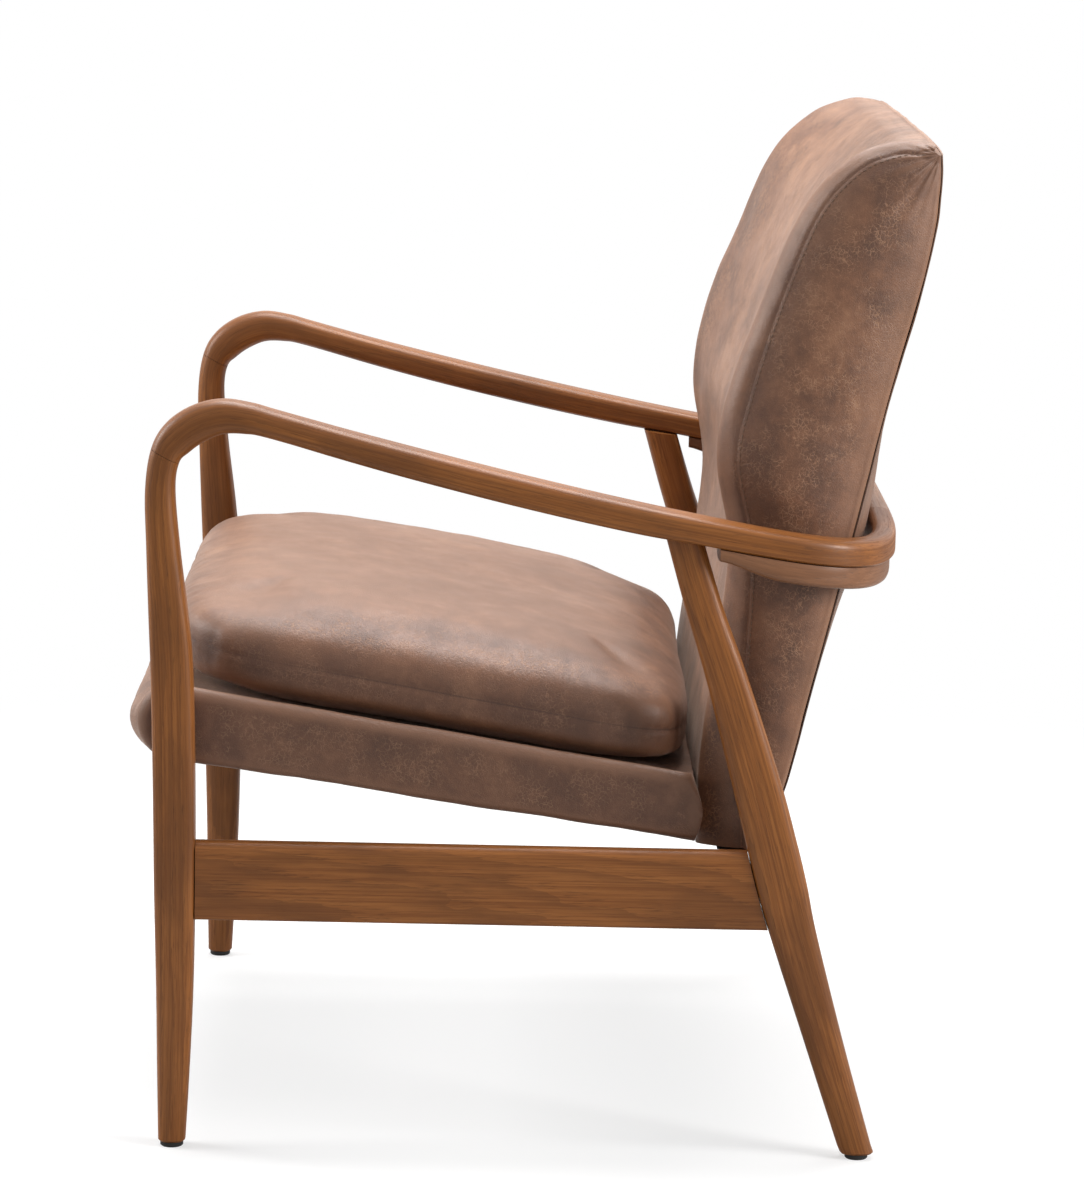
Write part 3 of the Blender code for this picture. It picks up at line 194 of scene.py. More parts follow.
@dataclass(frozen=True)
class ChairPlan:
    """Sizes in metres that more than one sub-assembly follows."""

    gap: float = 0.0003
    leather: float = 0.0015
    frame_half_width: float = 0.326
    leg_width: float = 0.030
    glide_height: float = 0.004
    arm_top_height: float = 0.621
    arm_width: float = 0.038
    arm_thickness: float = 0.0225
    arm_run: float = 0.4925
    arm_drop: float = 0.0965
    arm_fullness: float = 0.0026
    arm_sweep_share: float = 1.30
    elbow_reach: float = 0.120
    elbow_front_y: float = -0.3144
    bow_top_height: float = 0.512
    bow_thickness: float = 0.0215
    bow_inner_half_width: float = 0.317
    bow_centre_y: float = 0.1329
    bow_inner_reach: float = 0.152
    bow_rear_width: float = 0.021
    bow_joint_x: float = 0.115
    bow_inner_squareness: float = 5.6
    bow_outer_squareness: float = 4.5
    bow_side_squareness: tuple[float, float] = (4.4, 11.0)
    bow_rear_squareness: tuple[float, float] = (3.4, 18.0)
    seat_front_y: float = -0.3311
    seat_rear_y: float = 0.1369
    seat_front_height: float = 0.3816
    seat_rear_height: float = 0.3081
    base_front_depth: float = 0.0555
    base_rear_depth: float = 0.0475

    @property
    def seat_half_width(self) -> float:
        """Half the width of the seat base, which fills the space between the legs."""
        return self.frame_half_width - 0.5 * self.leg_width - self.gap

    @property
    def arm_start(self) -> float:
        """Where the arm leaves the elbow."""
        return self.elbow_front_y + self.elbow_reach

    @property
    def bow_middle(self) -> float:
        """Distance of the arm's middle from the chair's middle, where the bow begins."""
        return self.bow_inner_half_width + 0.5 * self.arm_width

    @property
    def bow_joint(self) -> float:
        """Angle, seen from above, at which the arm is glued to the bow."""
        return math.atan2(1.0, self.bow_joint_x / self.bow_middle)

    def seat_share(self, y: float) -> float:
        """0 at the front of the seat base and 1 at its rear."""
        return (y - self.seat_front_y) / (self.seat_rear_y - self.seat_front_y)

    def deck_height(self, y: float) -> float:
        """Height of the leather deck, which falls towards the back."""
        return mix(self.seat_front_height, self.seat_rear_height, self.seat_share(y))

    def base_height(self, y: float) -> float:
        """Height of the lower edge of the seat base."""
        return self.deck_height(y) - mix(self.base_front_depth, self.base_rear_depth, self.seat_share(y))

    def arm_top(self, y: float) -> float:
        """Height of the top of the arm, which drops in a shallow sweep to the bow."""
        left = max(0.0, self.arm_start + self.arm_run - y) / self.arm_run
        return self.bow_top_height + self.arm_drop * left ** self.arm_sweep_share

    def arm_share(self, y: float) -> float:
        """0 where the arm leaves the elbow and 1 where the bow begins."""
        return min(1.0, max(0.0, (y - self.arm_start) / (self.bow_centre_y - self.arm_start)))

    def arm_underside(self, y: float) -> float:
        """Height of the underside of the arm, which swells a little between elbow and bow.

        Args:
            y: Place along the arm.

        Returns:
            The height.
        """
        share = self.arm_share(y)
        swell = self.arm_fullness * math.sqrt(max(0.0, 4 * share * (1 - share)))
        return self.arm_top(y) - (mix(self.arm_thickness, self.bow_thickness, share) + swell)

    def bow_faces(self, angle: float, side: int = 1, lip: float = 0.0, inset: float = 0.0,
                  rear_inset: float = 0.0) -> tuple[Vector, Vector]:
        """The inner and the outer face of the bow, or of the rail that follows it.

        Args:
            angle: Direction seen from above.
            side: Sign of X.
            lip: How far the inner face stands outside the bow's.
            inset: How far the outer face stands inside the bow's at the sides.
            rear_inset: The same at the rear.

        Returns:
            A point of each face, at height 0.
        """
        inner = superellipse(angle, self.bow_inner_squareness)
        outer = superellipse(angle, self.bow_outer_squareness)
        near_x, near_y = self.bow_inner_half_width + lip, self.bow_inner_reach + lip
        far_x = self.bow_inner_half_width + self.arm_width - inset
        far_y = self.bow_inner_reach + self.bow_rear_width - rear_inset
        return (Vector((side * near_x * inner[0], self.bow_centre_y + near_y * inner[1], 0)),
                Vector((side * far_x * outer[0], self.bow_centre_y + far_y * outer[1], 0)))

    def bow_ring(self, angle: float, sides: int, side: int = 1) -> Ring:
        """One ring of the bow.

        Args:
            angle: Direction seen from above.
            sides: Number of points.
            side: Sign of X.

        Returns:
            The points of the ring.
        """
        near, far = self.bow_faces(angle, side)
        middle = 0.5 * (near + far)
        middle.z = self.arm_top(middle.y) - 0.5 * self.bow_thickness
        turned = math.sin(angle) ** 2
        top, under = (mix(start, end, turned)
                      for start, end in zip(self.bow_side_squareness, self.bow_rear_squareness))
        return section(middle, 0.5 * (far - near), Vector((0, 0, 0.5 * self.bow_thickness)), top, sides, under)


PLAN = ChairPlan()


# Finishes

def linear(code: str, alpha: float = 1.0) -> tuple[float, float, float, float]:
    """Turns an sRGB hex colour into the linear colour that a shader wants.

    Args:
        code: The hex colour.
        alpha: How opaque it is.

    Returns:
        Red, green, blue and alpha.
    """
    values = [int(code[i:i + 2], 16) / 255 for i in (0, 2, 4)]
    red, green, blue = (v / 12.92 if v <= 0.04045 else ((v + 0.055) / 1.055) ** 2.4 for v in values)
    return red, green, blue, alpha


def add_node(tree: bpy.types.NodeTree, kind: str, inputs: dict[str | int, Any], out: str | int = 0,
             **settings: Any) -> Socket | None:
    """Adds a node with its settings and links.

    Args:
        tree: The tree that it joins.
        kind: The node's type, without the word that all of them share.
        inputs: Values or sockets, by the name or number of the input they go to.
        out: Name or number of the wanted output.
        settings: Properties of the node itself.

    Returns:
        The output's socket, or None from a node that ends a tree.
    """
    node = tree.nodes.new("ShaderNode" + kind)
    for name, value in settings.items():
        setattr(node, name, value)
    for key, value in inputs.items():
        if isinstance(value, bpy.types.NodeSocket):
            tree.links.new(value, node.inputs[key])
        else:
            node.inputs[key].default_value = value
    return node.outputs[out] if node.outputs else None


class Recipe:
    """A material in the making: its node tree, from the pattern to the surface."""

    # How the commonest nodes are set: a mixed colour, a soft span of values
    COLOUR = {"data_type": "RGBA", "out": 2}
    SOFT = {"interpolation_type": "SMOOTHSTEP"}

    def __init__(self, name: str) -> None:
        """Starts a material from an empty tree.

        Args:
            name: The material's name.
        """
        self.material = bpy.data.materials.new(name)
        self.material.use_nodes = True
        self.tree = self.material.node_tree
        self.tree.nodes.clear()

    def add(self, kind: str, inputs: dict[str | int, Any], **settings: Any) -> Socket:
        """Adds a node to the material."""
        return add_node(self.tree, kind, inputs, **settings)

    def layer(self, colour: Socket, coats: Iterable[tuple[Any, str]]) -> Socket:
        """Lays colours over one another.

        Args:
            colour: The lowest.
            coats: How much of each coat shows, and its sRGB code.

        Returns:
            The colour that is seen.
        """
        for factor, code in coats:
            colour = self.add("Mix", {0: factor, 6: colour, 7: linear(code)}, **self.COLOUR)
        return colour

    def surface(self, bump: tuple[float, float], height: Socket, **inputs: Any) -> Finish:
        """Ends the tree with its bump and its shader.

        Args:
            bump: Strength of the bump, and its depth in metres.
            height: The pattern that it follows.
            inputs: The shader's other inputs, with underscores for spaces.

        Returns:
            The material.
        """
        normal = self.add("Bump", {"Strength": bump[0], "Distance": bump[1], "Height": height})
        named = {name.replace("_", " "): value for name, value in inputs.items()}
        self.add("OutputMaterial", {"Surface": self.add("BsdfPrincipled", {"Normal": normal, **named})})
        return self.material


@dataclass(frozen=True)
class LeatherFinish:
    """Waxed pull-up leather: cloudy browns, a crackle of paler lines and a soft sheen."""

    name: str
    hide_shift: tuple[float, float, float] = (0.0, 0.0, 0.0)
    shadow: str = "4b3022"
    body: str = "64422f"
    tan: str = "7c543c"
    pale: str = "94694d"
    crack: str = "a87e60"
    seam_wax: str = "2c1a12"
    sheen: str = "ecd2c2"
    cloud_mm: float = 110.0
    patch_mm: float = 30.0
    fleck_mm: float = 8.0
    crackle_mm: float = 3.4
    grain_mm: float = 1.0
    roughness: float = 0.45

    def build(self) -> Finish:
        """Mixes the leather, in the piece's own space.

        Returns:
            The material.
        """
        r = Recipe(self.name)
        cloud, patch, fleck, crackle, grain = (1 / (size * MM) for size in (
            self.cloud_mm, self.patch_mm, self.fleck_mm, self.crackle_mm, self.grain_mm))
        place = r.add("Mapping", {"Vector": r.add("TexCoord", {}, out="Object"), "Location": self.hide_shift})
        clouds = r.add("TexNoise", {"Vector": place, "Scale": cloud, "Detail": 4.0, "Roughness": 0.55,
                                    "Distortion": 0.4})
        patches = r.add("TexNoise", {"Vector": place, "Scale": patch, "Detail": 6.0, "Roughness": 0.62,
                                     "Distortion": 0.3})
        flecks = r.add("TexNoise", {"Vector": place, "Scale": fleck, "Detail": 5.0, "Roughness": 0.7})
        mottle = r.add("Math", {0: clouds, 1: patches}, operation="ADD")
        mottle = r.add("Math", {0: flecks, 1: 0.40, 2: mottle}, operation="MULTIPLY_ADD")
        dyed = r.add("ValToRGB", {0: r.add("MapRange", {0: mottle, 1: 0.86, 2: 1.54})})
        ramp = dyed.node.color_ramp.elements
        ramp[0].color, ramp[1].color = linear(self.shadow), linear(self.pale)
        for at, code in ((0.36, self.body), (0.66, self.tan)):
            ramp.new(at).color = linear(code)

        # The wax cracks along an irregular net, paler than the leather, mostly on its darker patches
        bend = r.add("TexNoise", {"Vector": place, "Scale": fleck, "Detail": 3.0}, out=1)
        bend = r.add("VectorMath", {0: bend, 1: (0.5, 0.5, 0.5)}, operation="SUBTRACT")
        bend = r.add("VectorMath", {0: bend, "Scale": 1.7 * self.crackle_mm * MM}, operation="SCALE")
        bent = r.add("VectorMath", {0: place, 1: bend}, operation="ADD")
        lines = []
        for scale, width, strength in ((crackle, 0.14, 1.0), (2.2 * crackle, 0.16, 0.35)):
            edge = r.add("TexVoronoi", {"Vector": bent, "Scale": scale}, feature="DISTANCE_TO_EDGE")
            lines.append(r.add("MapRange", {0: edge, 1: 0.0, 2: width, 3: strength, 4: 0.0}, **r.SOFT))
        cracks = r.add("Math", {0: lines[0], 1: lines[1]}, operation="MAXIMUM")
        worn = r.add("TexNoise", {"Vector": place, "Scale": 0.9 * patch, "Detail": 5.0, "Roughness": 0.7})
        torn = r.add("TexNoise", {"Vector": place, "Scale": 1.6 * fleck, "Detail": 4.0, "Roughness": 0.7})
        wear_and_highlight = r.add("Attribute", {}, attribute_name="wear_and_highlight", out="Fac")
        worn = r.add("MapRange", {0: worn, 1: 0.40, 2: 0.60, 3: 0.22, 4: 1.0}, **r.SOFT)
        rubbed_and_lit = r.add("MapRange", {0: wear_and_highlight, 1: 0.1, 2: 0.8, 3: 1.0, 4: 0.35}, **r.SOFT)
        dry = r.add("Math", {0: worn, 1: rubbed_and_lit}, operation="MULTIPLY")
        torn = r.add("MapRange", {0: torn, 1: 0.34, 2: 0.60, 3: 0.20, 4: 1.0}, **r.SOFT)
        for share in (torn, dry):
            cracks = r.add("Math", {0: cracks, 1: share}, operation="MULTIPLY")

        # Stretched over a ridge the wax pales and smooths out, and the same coat paints a highlight on tops and
        # edges
        # A seam gathers dark wax in a thin line; the wider band beside it is painted shade, in the shadow colour
        seam = r.add("Attribute", {}, attribute_name="seam", out="Fac")
        shares = [r.add("MapRange", {0: value, 1: low, 2: high, 3: start, 4: end}, **r.SOFT)
                  for value, low, high, start, end in (
                      (cracks, 0.0, 0.9, 0.0, 0.64), (wear_and_highlight, 0.1, 1.0, 0.0, 0.60),
                      (seam, 0.0003, 0.0017, 0.75, 0.0), (seam, 0.001, 0.045, 0.45, 0.0))]
        colour = r.layer(dyed, zip(shares, (self.crack, self.pale, self.seam_wax, self.shadow)))

        cells = r.add("TexVoronoi", {"Vector": bent, "Scale": grain})
        pores = r.add("TexNoise", {"Vector": place, "Scale": 1.6 * grain, "Detail": 3.0})
        height = pores
        for pattern, share in ((cells, 0.55), (cracks, -0.8), (flecks, 1.1)):
            height = r.add("Math", {0: pattern, 1: share, 2: height}, operation="MULTIPLY_ADD")
        gloss = r.add("MapRange", {0: mottle, 1: 0.85, 2: 1.55, 3: self.roughness + 0.06,
                                   4: self.roughness - 0.05}, **r.SOFT)
        gloss = r.add("Math", {0: cracks, 1: 0.12, 2: gloss}, operation="MULTIPLY_ADD")

        # Buffed wax hazes at a grazing angle
        return r.surface((0.40, 0.0005), height, Base_Color=colour, Roughness=gloss, Sheen_Weight=0.32,
                         Sheen_Roughness=0.42, Sheen_Tint=linear(self.sheen))


@dataclass(frozen=True)
class TimberFinish:
    """Ash, stained walnut-brown under satin lacquer: open pores along the grain and rings cut on the flat."""

    name: str
    dark: str = "653914"
    body: str = "824b1d"
    light: str = "9f632e"
    pore: str = "3d210b"
    sheen_haze: str = "b08a72"
    ring_mm: float = 5.5
    heart_mm: tuple[float, float] = (9.0, 30.0)
    slant: tuple[float, float] = (0.030, 0.012)
    pore_mm: float = 0.7
    pore_length_mm: float = 18.0
    roughness: float = 0.40
    haze_share: float = 0.0

    def build(self) -> Finish:
        """Mixes the timber along each point's place in its blank.

        Returns:
            The material.
        """
        r = Recipe(self.name)
        place = r.add("Attribute", {}, attribute_name="grain", out="Vector")

        # Rings round the heart of the tree, which runs at a slant past the member
        turned = r.add("Mapping", {"Vector": place, "Rotation": (0.0, self.slant[0], self.slant[1]),
                                   "Location": (0.0, self.heart_mm[0] * MM, self.heart_mm[1] * MM)})
        drift = r.add("Mapping", {"Vector": place, "Scale": (6.0, 40.0, 40.0)})
        drift = r.add("TexNoise", {"Vector": drift, "Scale": 1.0, "Detail": 3.0, "Roughness": 0.55}, out=1)
        drift = r.add("VectorMath", {0: drift, 1: (0.5, 0.5, 0.5)}, operation="SUBTRACT")
        drift = r.add("VectorMath", {0: drift, "Scale": 1.9 * self.ring_mm * MM}, operation="SCALE")
        bent = r.add("VectorMath", {0: turned, 1: drift}, operation="ADD")
        rings = r.add("TexWave", {"Vector": bent, "Scale": 2 * math.pi / (self.ring_mm * MM) / 20,
                                  "Distortion": 0.0}, out=1, wave_type="RINGS", rings_direction="X",
                      wave_profile="SAW")
        late = r.add("MapRange", {0: rings, 1: 0.45, 2: 1.0}, **r.SOFT)

        # Pores: short dark lines along the grain, gathered in the early wood, drawn a little coarse to show
        fine = 1 / (self.pore_mm * MM)
        fibre = r.add("Mapping", {"Vector": place, "Scale": (1 / (self.pore_length_mm * MM), fine, fine)})
        fibre = r.add("TexNoise", {"Vector": fibre, "Scale": 1.0, "Detail": 2.0, "Roughness": 0.6})
        fibre = r.add("MapRange", {0: fibre, 1: 0.52, 2: 0.68}, **r.SOFT)
        early = r.add("MapRange", {0: rings, 1: 0.0, 2: 0.6, 3: 1.0, 4: 0.35}, **r.SOFT)
        pores = r.add("Math", {0: fibre, 1: early}, operation="MULTIPLY")
        streak = r.add("Mapping", {"Vector": place, "Scale": (8.0, 560.0, 560.0)})
        streak = r.add("TexNoise", {"Vector": streak, "Scale": 1.0, "Detail": 4.0, "Roughness": 0.6})
        cloud = r.add("Mapping", {"Vector": place, "Scale": (9.0, 22.0, 22.0)})
        cloud = r.add("TexNoise", {"Vector": cloud, "Scale": 1.0, "Detail": 3.0})
        streaks = r.add("MapRange", {0: streak, 1: 0.30, 2: 0.70}, **r.SOFT)
        stained = r.add("Mix", {0: streaks, 6: linear(self.body), 7: linear(self.light)}, **r.COLOUR)
        coats = [(r.add("MapRange", {0: cloud, 1: 0.40, 2: 0.66, 4: 0.55}, **r.SOFT), self.dark),
                 (r.add("Math", {0: late, 1: 0.42}, operation="MULTIPLY"), self.dark),
                 (r.add("Math", {0: pores, 1: 0.55}, operation="MULTIPLY"), self.pore)]
        # Painted sheen: a whitish haze where the light falls on the piece
        if self.haze_share:
            coats.append((self.haze_share, self.sheen_haze))
        gloss = r.add("MapRange", {0: streak, 1: 0.3, 2: 0.7, 3: self.roughness + 0.05,
                                   4: self.roughness - 0.04}, **r.SOFT)
        gloss = r.add("Math", {0: pores, 1: 0.2, 2: gloss}, operation="MULTIPLY_ADD")
        height = r.add("Math", {0: pores, 1: -1.0, 2: streak}, operation="MULTIPLY_ADD")
        return r.surface((0.25, 0.0002), height, Base_Color=r.layer(stained, coats), Roughness=gloss,
                         Specular_IOR_Level=0.35, Coat_Weight=0.06, Coat_Roughness=0.22)


@dataclass(frozen=True)
class WovenFinish:
    """Cloth under the leather: a weave of two thread directions, drawn coarse enough to show."""

    name: str
    base: str
    raised: str
    thread_mm: float
    roughness: float = 0.85
    bump_share: float = 0.6

    def build(self) -> Finish:
        """Mixes the cloth, woven along X and Y.

        Returns:
            The material.
        """
        r = Recipe(self.name)
        place = r.add("TexCoord", {}, out="Object")
        scale = 2 * math.pi / (self.thread_mm * MM) / 20
        warp, weft = (r.add("TexWave", {"Vector": place, "Scale": scale, "Distortion": 0.4}, out=1,
                            bands_direction=way) for way in "XY")
        weave = r.add("Math", {0: warp, 1: weft}, operation="MULTIPLY")
        tone = r.add("TexNoise", {"Vector": place, "Scale": 1 / (14 * MM), "Detail": 4.0})
        woven = r.add("Mix", {0: weave, 6: linear(self.base), 7: linear(self.raised)}, **r.COLOUR)
        share = r.add("MapRange", {0: tone, 1: 0.35, 2: 0.7, 4: 0.35}, **r.SOFT)
        return r.surface((self.bump_share, 0.0003), weave, Base_Color=r.layer(woven, [(share, self.base)]),
                         Roughness=self.roughness)


@dataclass(frozen=True)
class PlainFinish:
    """A moulded, plated, planed or spun surface, with a fine mottle that runs one way or all ways."""

    name: str
    base: str
    second: str
    roughness: float
    metallic: float = 0.0
    mottle_mm: tuple[float, float, float] = (3.0, 3.0, 3.0)
    bump_mm: float = 0.05

    def build(self) -> Finish:
        """Mixes the surface, in the piece's own space.

        Returns:
            The material.
        """
        r = Recipe(self.name)
        scale = tuple(1 / (size * MM) for size in self.mottle_mm)
        place = r.add("Mapping", {"Vector": r.add("TexCoord", {}, out="Object"), "Scale": scale})
        tone = r.add("TexNoise", {"Vector": place, "Scale": 1.0, "Detail": 5.0, "Roughness": 0.6})
        share = r.add("MapRange", {0: tone, 1: 0.3, 2: 0.7}, **r.SOFT)
        colour = r.add("Mix", {0: share, 6: linear(self.base), 7: linear(self.second)}, **r.COLOUR)
        gloss = r.add("MapRange", {0: tone, 1: 0.2, 2: 0.8, 3: self.roughness - 0.05,
                                   4: self.roughness + 0.07}, **r.SOFT)
        return r.surface((0.4, self.bump_mm * MM), tone, Base_Color=colour, Roughness=gloss,
                         Metallic=self.metallic)


# Building pieces

def add_object(name: str, data: bpy.types.ID) -> Piece:
    """Adds an object with its data to the scene.

    Args:
        name: Its name.
        data: Mesh, lamp or camera.

    Returns:
        The object, at the origin.
    """
    made = bpy.data.objects.new(name, data)
    bpy.context.scene.collection.objects.link(made)
    return made


class Form:
    """A piece in the making: a mesh whose points know their place in the timber blank."""

    def __init__(self, name: str) -> None:
        """Starts an empty mesh.

        Args:
            name: The piece's name.
        """
        self.name = name
        self.bm = bmesh.new()
        self.grain = self.bm.verts.layers.float_vector.new("grain")
        self.rows: list[list[bmesh.types.BMVert]] = []

    def loft(self, rings: Sequence[Ring], capped: bool = True) -> None:
        """Lofts a body through rings by extruding a circle from each to the next.

        Args:
            rings: Rings of equal count, in order along the body.
            capped: Whether both ends are closed.
        """
        corners = bmesh.ops.create_circle(self.bm, segments=len(rings[0]), radius=1.0)["verts"]
        edges = list({edge for corner in corners for edge in corner.link_edges})
        for corner, point in zip(corners, rings[0]):
            corner.co = point
        self.rows = [corners]
        if capped:
            bmesh.ops.contextual_create(self.bm, geom=edges)
        for ring in rings[1:]:
            made = bmesh.ops.extrude_edge_only(self.bm, edges=edges)["geom"]
            fresh = {item for item in made if isinstance(item, bmesh.types.BMVert)}
            corners = [next(edge.other_vert(corner) for edge in corner.link_edges
                            if edge.other_vert(corner) in fresh) for corner in corners]
            for corner, point in zip(corners, ring):
                corner.co = point
            edges = [item for item in made if isinstance(item, bmesh.types.BMEdge) and set(item.verts) <= fresh]
            self.rows.append(corners)
        if capped:
            bmesh.ops.contextual_create(self.bm, geom=edges)
        bmesh.ops.recalc_face_normals(self.bm, faces=self.bm.faces)
        if self.bm.calc_volume(signed=True) < 0:
            bmesh.ops.reverse_faces(self.bm, faces=self.bm.faces)

    def lay_grain(self, rings: Sequence[Ring], offset: Sequence[float]) -> float:
        """Gives each point its place in the blank: along the grain, across it and through it.

        Args:
            rings: The rings of the member.
            offset: Where the blank was cut from the plank.

        Returns:
            The member's length along its middle.
        """
        centres = [middle_of(ring) for ring in rings]
        along = 0.0
        for i, (row, ring, centre) in enumerate(zip(self.rows, rings, centres)):
            along += (centre - centres[i - 1]).length if i else 0.0
            way = (centres[min(i + 1, len(rings) - 1)] - centres[max(i - 1, 0)]).normalized()
            wide = (ring[0] + ring[-1]) * 0.5 - centre
            wide = (wide - way * wide.dot(way)).normalized()
            deep = way.cross(wide)
            for corner, point in zip(row, ring):
                from_middle = point - centre
                corner[self.grain] = (along + offset[0], from_middle.dot(deep) + offset[1],
                                      from_middle.dot(wide) + offset[2])
        return along

    def finish(self, material: Finish, crease: float = 40.0) -> Piece:
        """Ends the mesh and makes its object.

        Args:
            material: The surface finish.
            crease: Edges sharper than this many degrees stay sharp.

        Returns:
            The object, at the origin.
        """
        self.bm.verts.index_update()
        mesh = bpy.data.meshes.new(self.name)
        self.bm.to_mesh(mesh)
        mesh.shade_smooth()
        mesh.set_sharp_from_angle(angle=math.radians(crease))
        mesh.materials.append(material)
        return add_object(self.name, mesh)


def dress(piece: Piece, body: Body, slot: Slot, *nodes: str) -> None:
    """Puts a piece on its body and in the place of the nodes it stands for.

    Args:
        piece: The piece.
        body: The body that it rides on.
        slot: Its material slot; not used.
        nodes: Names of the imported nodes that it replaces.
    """
    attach(piece, body.value)
    if nodes:
        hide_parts(*nodes)
    LOG.info("%s: %d faces", piece.name, len(piece.data.polygons))


def build_member(name: str, rings: Sequence[Ring], offset: Sequence[float], finish: Finish, node: str) -> float:
    """Builds a timber member through its rings, with the grain along it.

    Args:
        name: The piece's name.
        rings: Its rings, from end to end.
        offset: Where its blank was cut from the plank.
        finish: Its material.
        node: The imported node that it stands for.

    Returns:
        Its length along its middle.
    """
    form = Form(name)
    form.loft(rings)
    length = form.lay_grain(rings, offset)
    dress(form.finish(finish), Body.FRAME, Slot.TIMBER, node)
    return length


def subdivide(piece: Piece) -> None:
    """Smooths a piece by one level of subdivision and keeps the result.

    Args:
        piece: The piece, whose mesh is replaced.
    """
    modifier = piece.modifiers.new("smooth", "SUBSURF")
    modifier.levels = modifier.render_levels = 1
    graph = bpy.context.evaluated_depsgraph_get()
    mesh = bpy.data.meshes.new_from_object(piece.evaluated_get(graph), preserve_all_data_layers=True,
                                           depsgraph=graph)
    mesh.name = piece.name
    piece.modifiers.clear()
    piece.data = mesh


def close_ends(piece: Piece) -> None:
    """Closes the open ends of a piece with one flat face each.

    Args:
        piece: The piece.
    """
    bm = bmesh.new()
    bm.from_mesh(piece.data)
    made = bmesh.ops.holes_fill(bm, edges=[edge for edge in bm.edges if edge.is_boundary], sides=0)["faces"]
    bmesh.ops.recalc_face_normals(bm, faces=bm.faces)
    for face in made:
        face.smooth = False
    bm.to_mesh(piece.data)
    bm.free()


def read_points(mesh: bpy.types.Mesh, what: str = "co") -> Array:
    """Reads the positions or the normals of a mesh's points.

    Args:
        mesh: The mesh.
        what: "co" or "normal".

    Returns:
        One row a point.
    """
    values = np.zeros(len(mesh.vertices) * 3)
    mesh.vertices.foreach_get(what, values)
    return values.reshape(-1, 3)


def write_points(mesh: bpy.types.Mesh, points: Array) -> None:
    """Moves a mesh's points."""
    mesh.vertices.foreach_set("co", points.ravel())
    mesh.update()


def write_value(mesh: bpy.types.Mesh, name: str, values: Array) -> None:
    """Writes one number to each point of a mesh under a name."""
    layer = mesh.attributes.get(name) or mesh.attributes.new(name, "FLOAT", "POINT")
    layer.data.foreach_set("value", np.ascontiguousarray(values, np.float32))


def read_value(mesh: bpy.types.Mesh, name: str) -> Array:
    """Reads one number from each point of a mesh.

    Args:
        mesh: The mesh.
        name: The attribute's name.

    Returns:
        The numbers.
    """
    values = np.zeros(len(mesh.vertices), np.float32)
    mesh.attributes[name].data.foreach_get("value", values)
    return values.astype(float)


def edge_ends(mesh: bpy.types.Mesh) -> Array:
    """Reads the two point numbers of each edge.

    Args:
        mesh: The mesh.

    Returns:
        One row an edge.
    """
    ends = np.zeros(len(mesh.edges) * 2, np.int32)
    mesh.edges.foreach_get("vertices", ends)
    return ends.reshape(-1, 2)


def spread(values: Array, ends: Array, rounds: int) -> Array:
    """Smooths values over a mesh by averaging each point with its neighbours.

    Args:
        values: A value or a row for each point.
        ends: The two point numbers of each edge.
        rounds: How often.

    Returns:
        The smoothed values.
    """
    count = np.bincount(ends.ravel(), minlength=len(values)).clip(1)
    for _ in range(rounds):
        total = np.zeros_like(values)
        np.add.at(total, ends[:, 0], values[ends[:, 1]])
        np.add.at(total, ends[:, 1], values[ends[:, 0]])
        mean = total / (count if values.ndim == 1 else count[:, None])
        values = 0.5 * values + 0.5 * mean
    return values


def mark_wear(piece: Piece, radius: float) -> None:
    """Writes how strongly a surface bends outwards.

    Args:
        piece: The piece.
        radius: Radius of a ridge that counts as 1.
    """
    mesh = piece.data
    points, normals, ends = read_points(mesh), read_points(mesh, "normal"), edge_ends(mesh)
    run = points[ends[:, 1]] - points[ends[:, 0]]
    bend = ((normals[ends[:, 1]] - normals[ends[:, 0]]) * run).sum(1) / (run ** 2).sum(1).clip(1e-12)
    total = np.zeros(len(points))
    np.add.at(total, ends[:, 0], bend)
    np.add.at(total, ends[:, 1], bend)
    bend = total / np.bincount(ends.ravel(), minlength=len(points)).clip(1)
    write_value(mesh, "wear_and_highlight", np.clip(spread(bend, ends, 12) * radius, 0, 1))


@dataclass(frozen=True)
class Padding:
    """Filling that presses a leather skin out from inside while its seams hold."""

    pressure: float
    cap: float
    frames: int = 20
    quality: int = 6
    mass: float = 0.35
    stretch_stiffness: float = 22.0
    shear_stiffness: float = 12.0
    bending_stiffness: float = 0.6
    smoothing: int = 10

    def fill(self, piece: Piece, pinned: Sequence[int]) -> None:
        """Simulates the skin and keeps the result, with each point's move capped and smoothed.

        Args:
            piece: The skin.
            pinned: Numbers of the points that stay in place.
        """
        group = piece.vertex_groups.new(name="held")
        group.add(pinned, 1.0, "REPLACE")
        cloth = piece.modifiers.new("padding", "CLOTH")
        settings = cloth.settings
        settings.quality = self.quality
        settings.mass = self.mass
        settings.tension_stiffness = settings.compression_stiffness = self.stretch_stiffness
        settings.shear_stiffness = self.shear_stiffness
        settings.bending_stiffness = self.bending_stiffness
        settings.use_pressure = True
        settings.uniform_pressure_force = self.pressure
        settings.vertex_group_mass = group.name
        settings.effector_weights.gravity = 0.0
        cloth.collision_settings.use_collision = False
        cloth.point_cache.frame_start, cloth.point_cache.frame_end = 1, self.frames
        start = read_points(piece.data)
        for number in range(1, self.frames + 1):
            bpy.context.scene.frame_set(number)
        graph = bpy.context.evaluated_depsgraph_get()
        moved = read_points(piece.evaluated_get(graph).data) - start
        piece.modifiers.remove(cloth)
        piece.vertex_groups.remove(group)
        bpy.context.scene.frame_set(1)
        reach = np.linalg.norm(moved, axis=1, keepdims=True)
        moved *= np.minimum(1.0, self.cap / np.maximum(reach, 1e-9))
        moved = spread(moved, edge_ends(piece.data), self.smoothing)
        moved[pinned] = 0.0
        write_points(piece.data, start + moved)
        LOG.info("%s: padding moved it %.1f mm at most", piece.name, float(reach.max()) / MM)


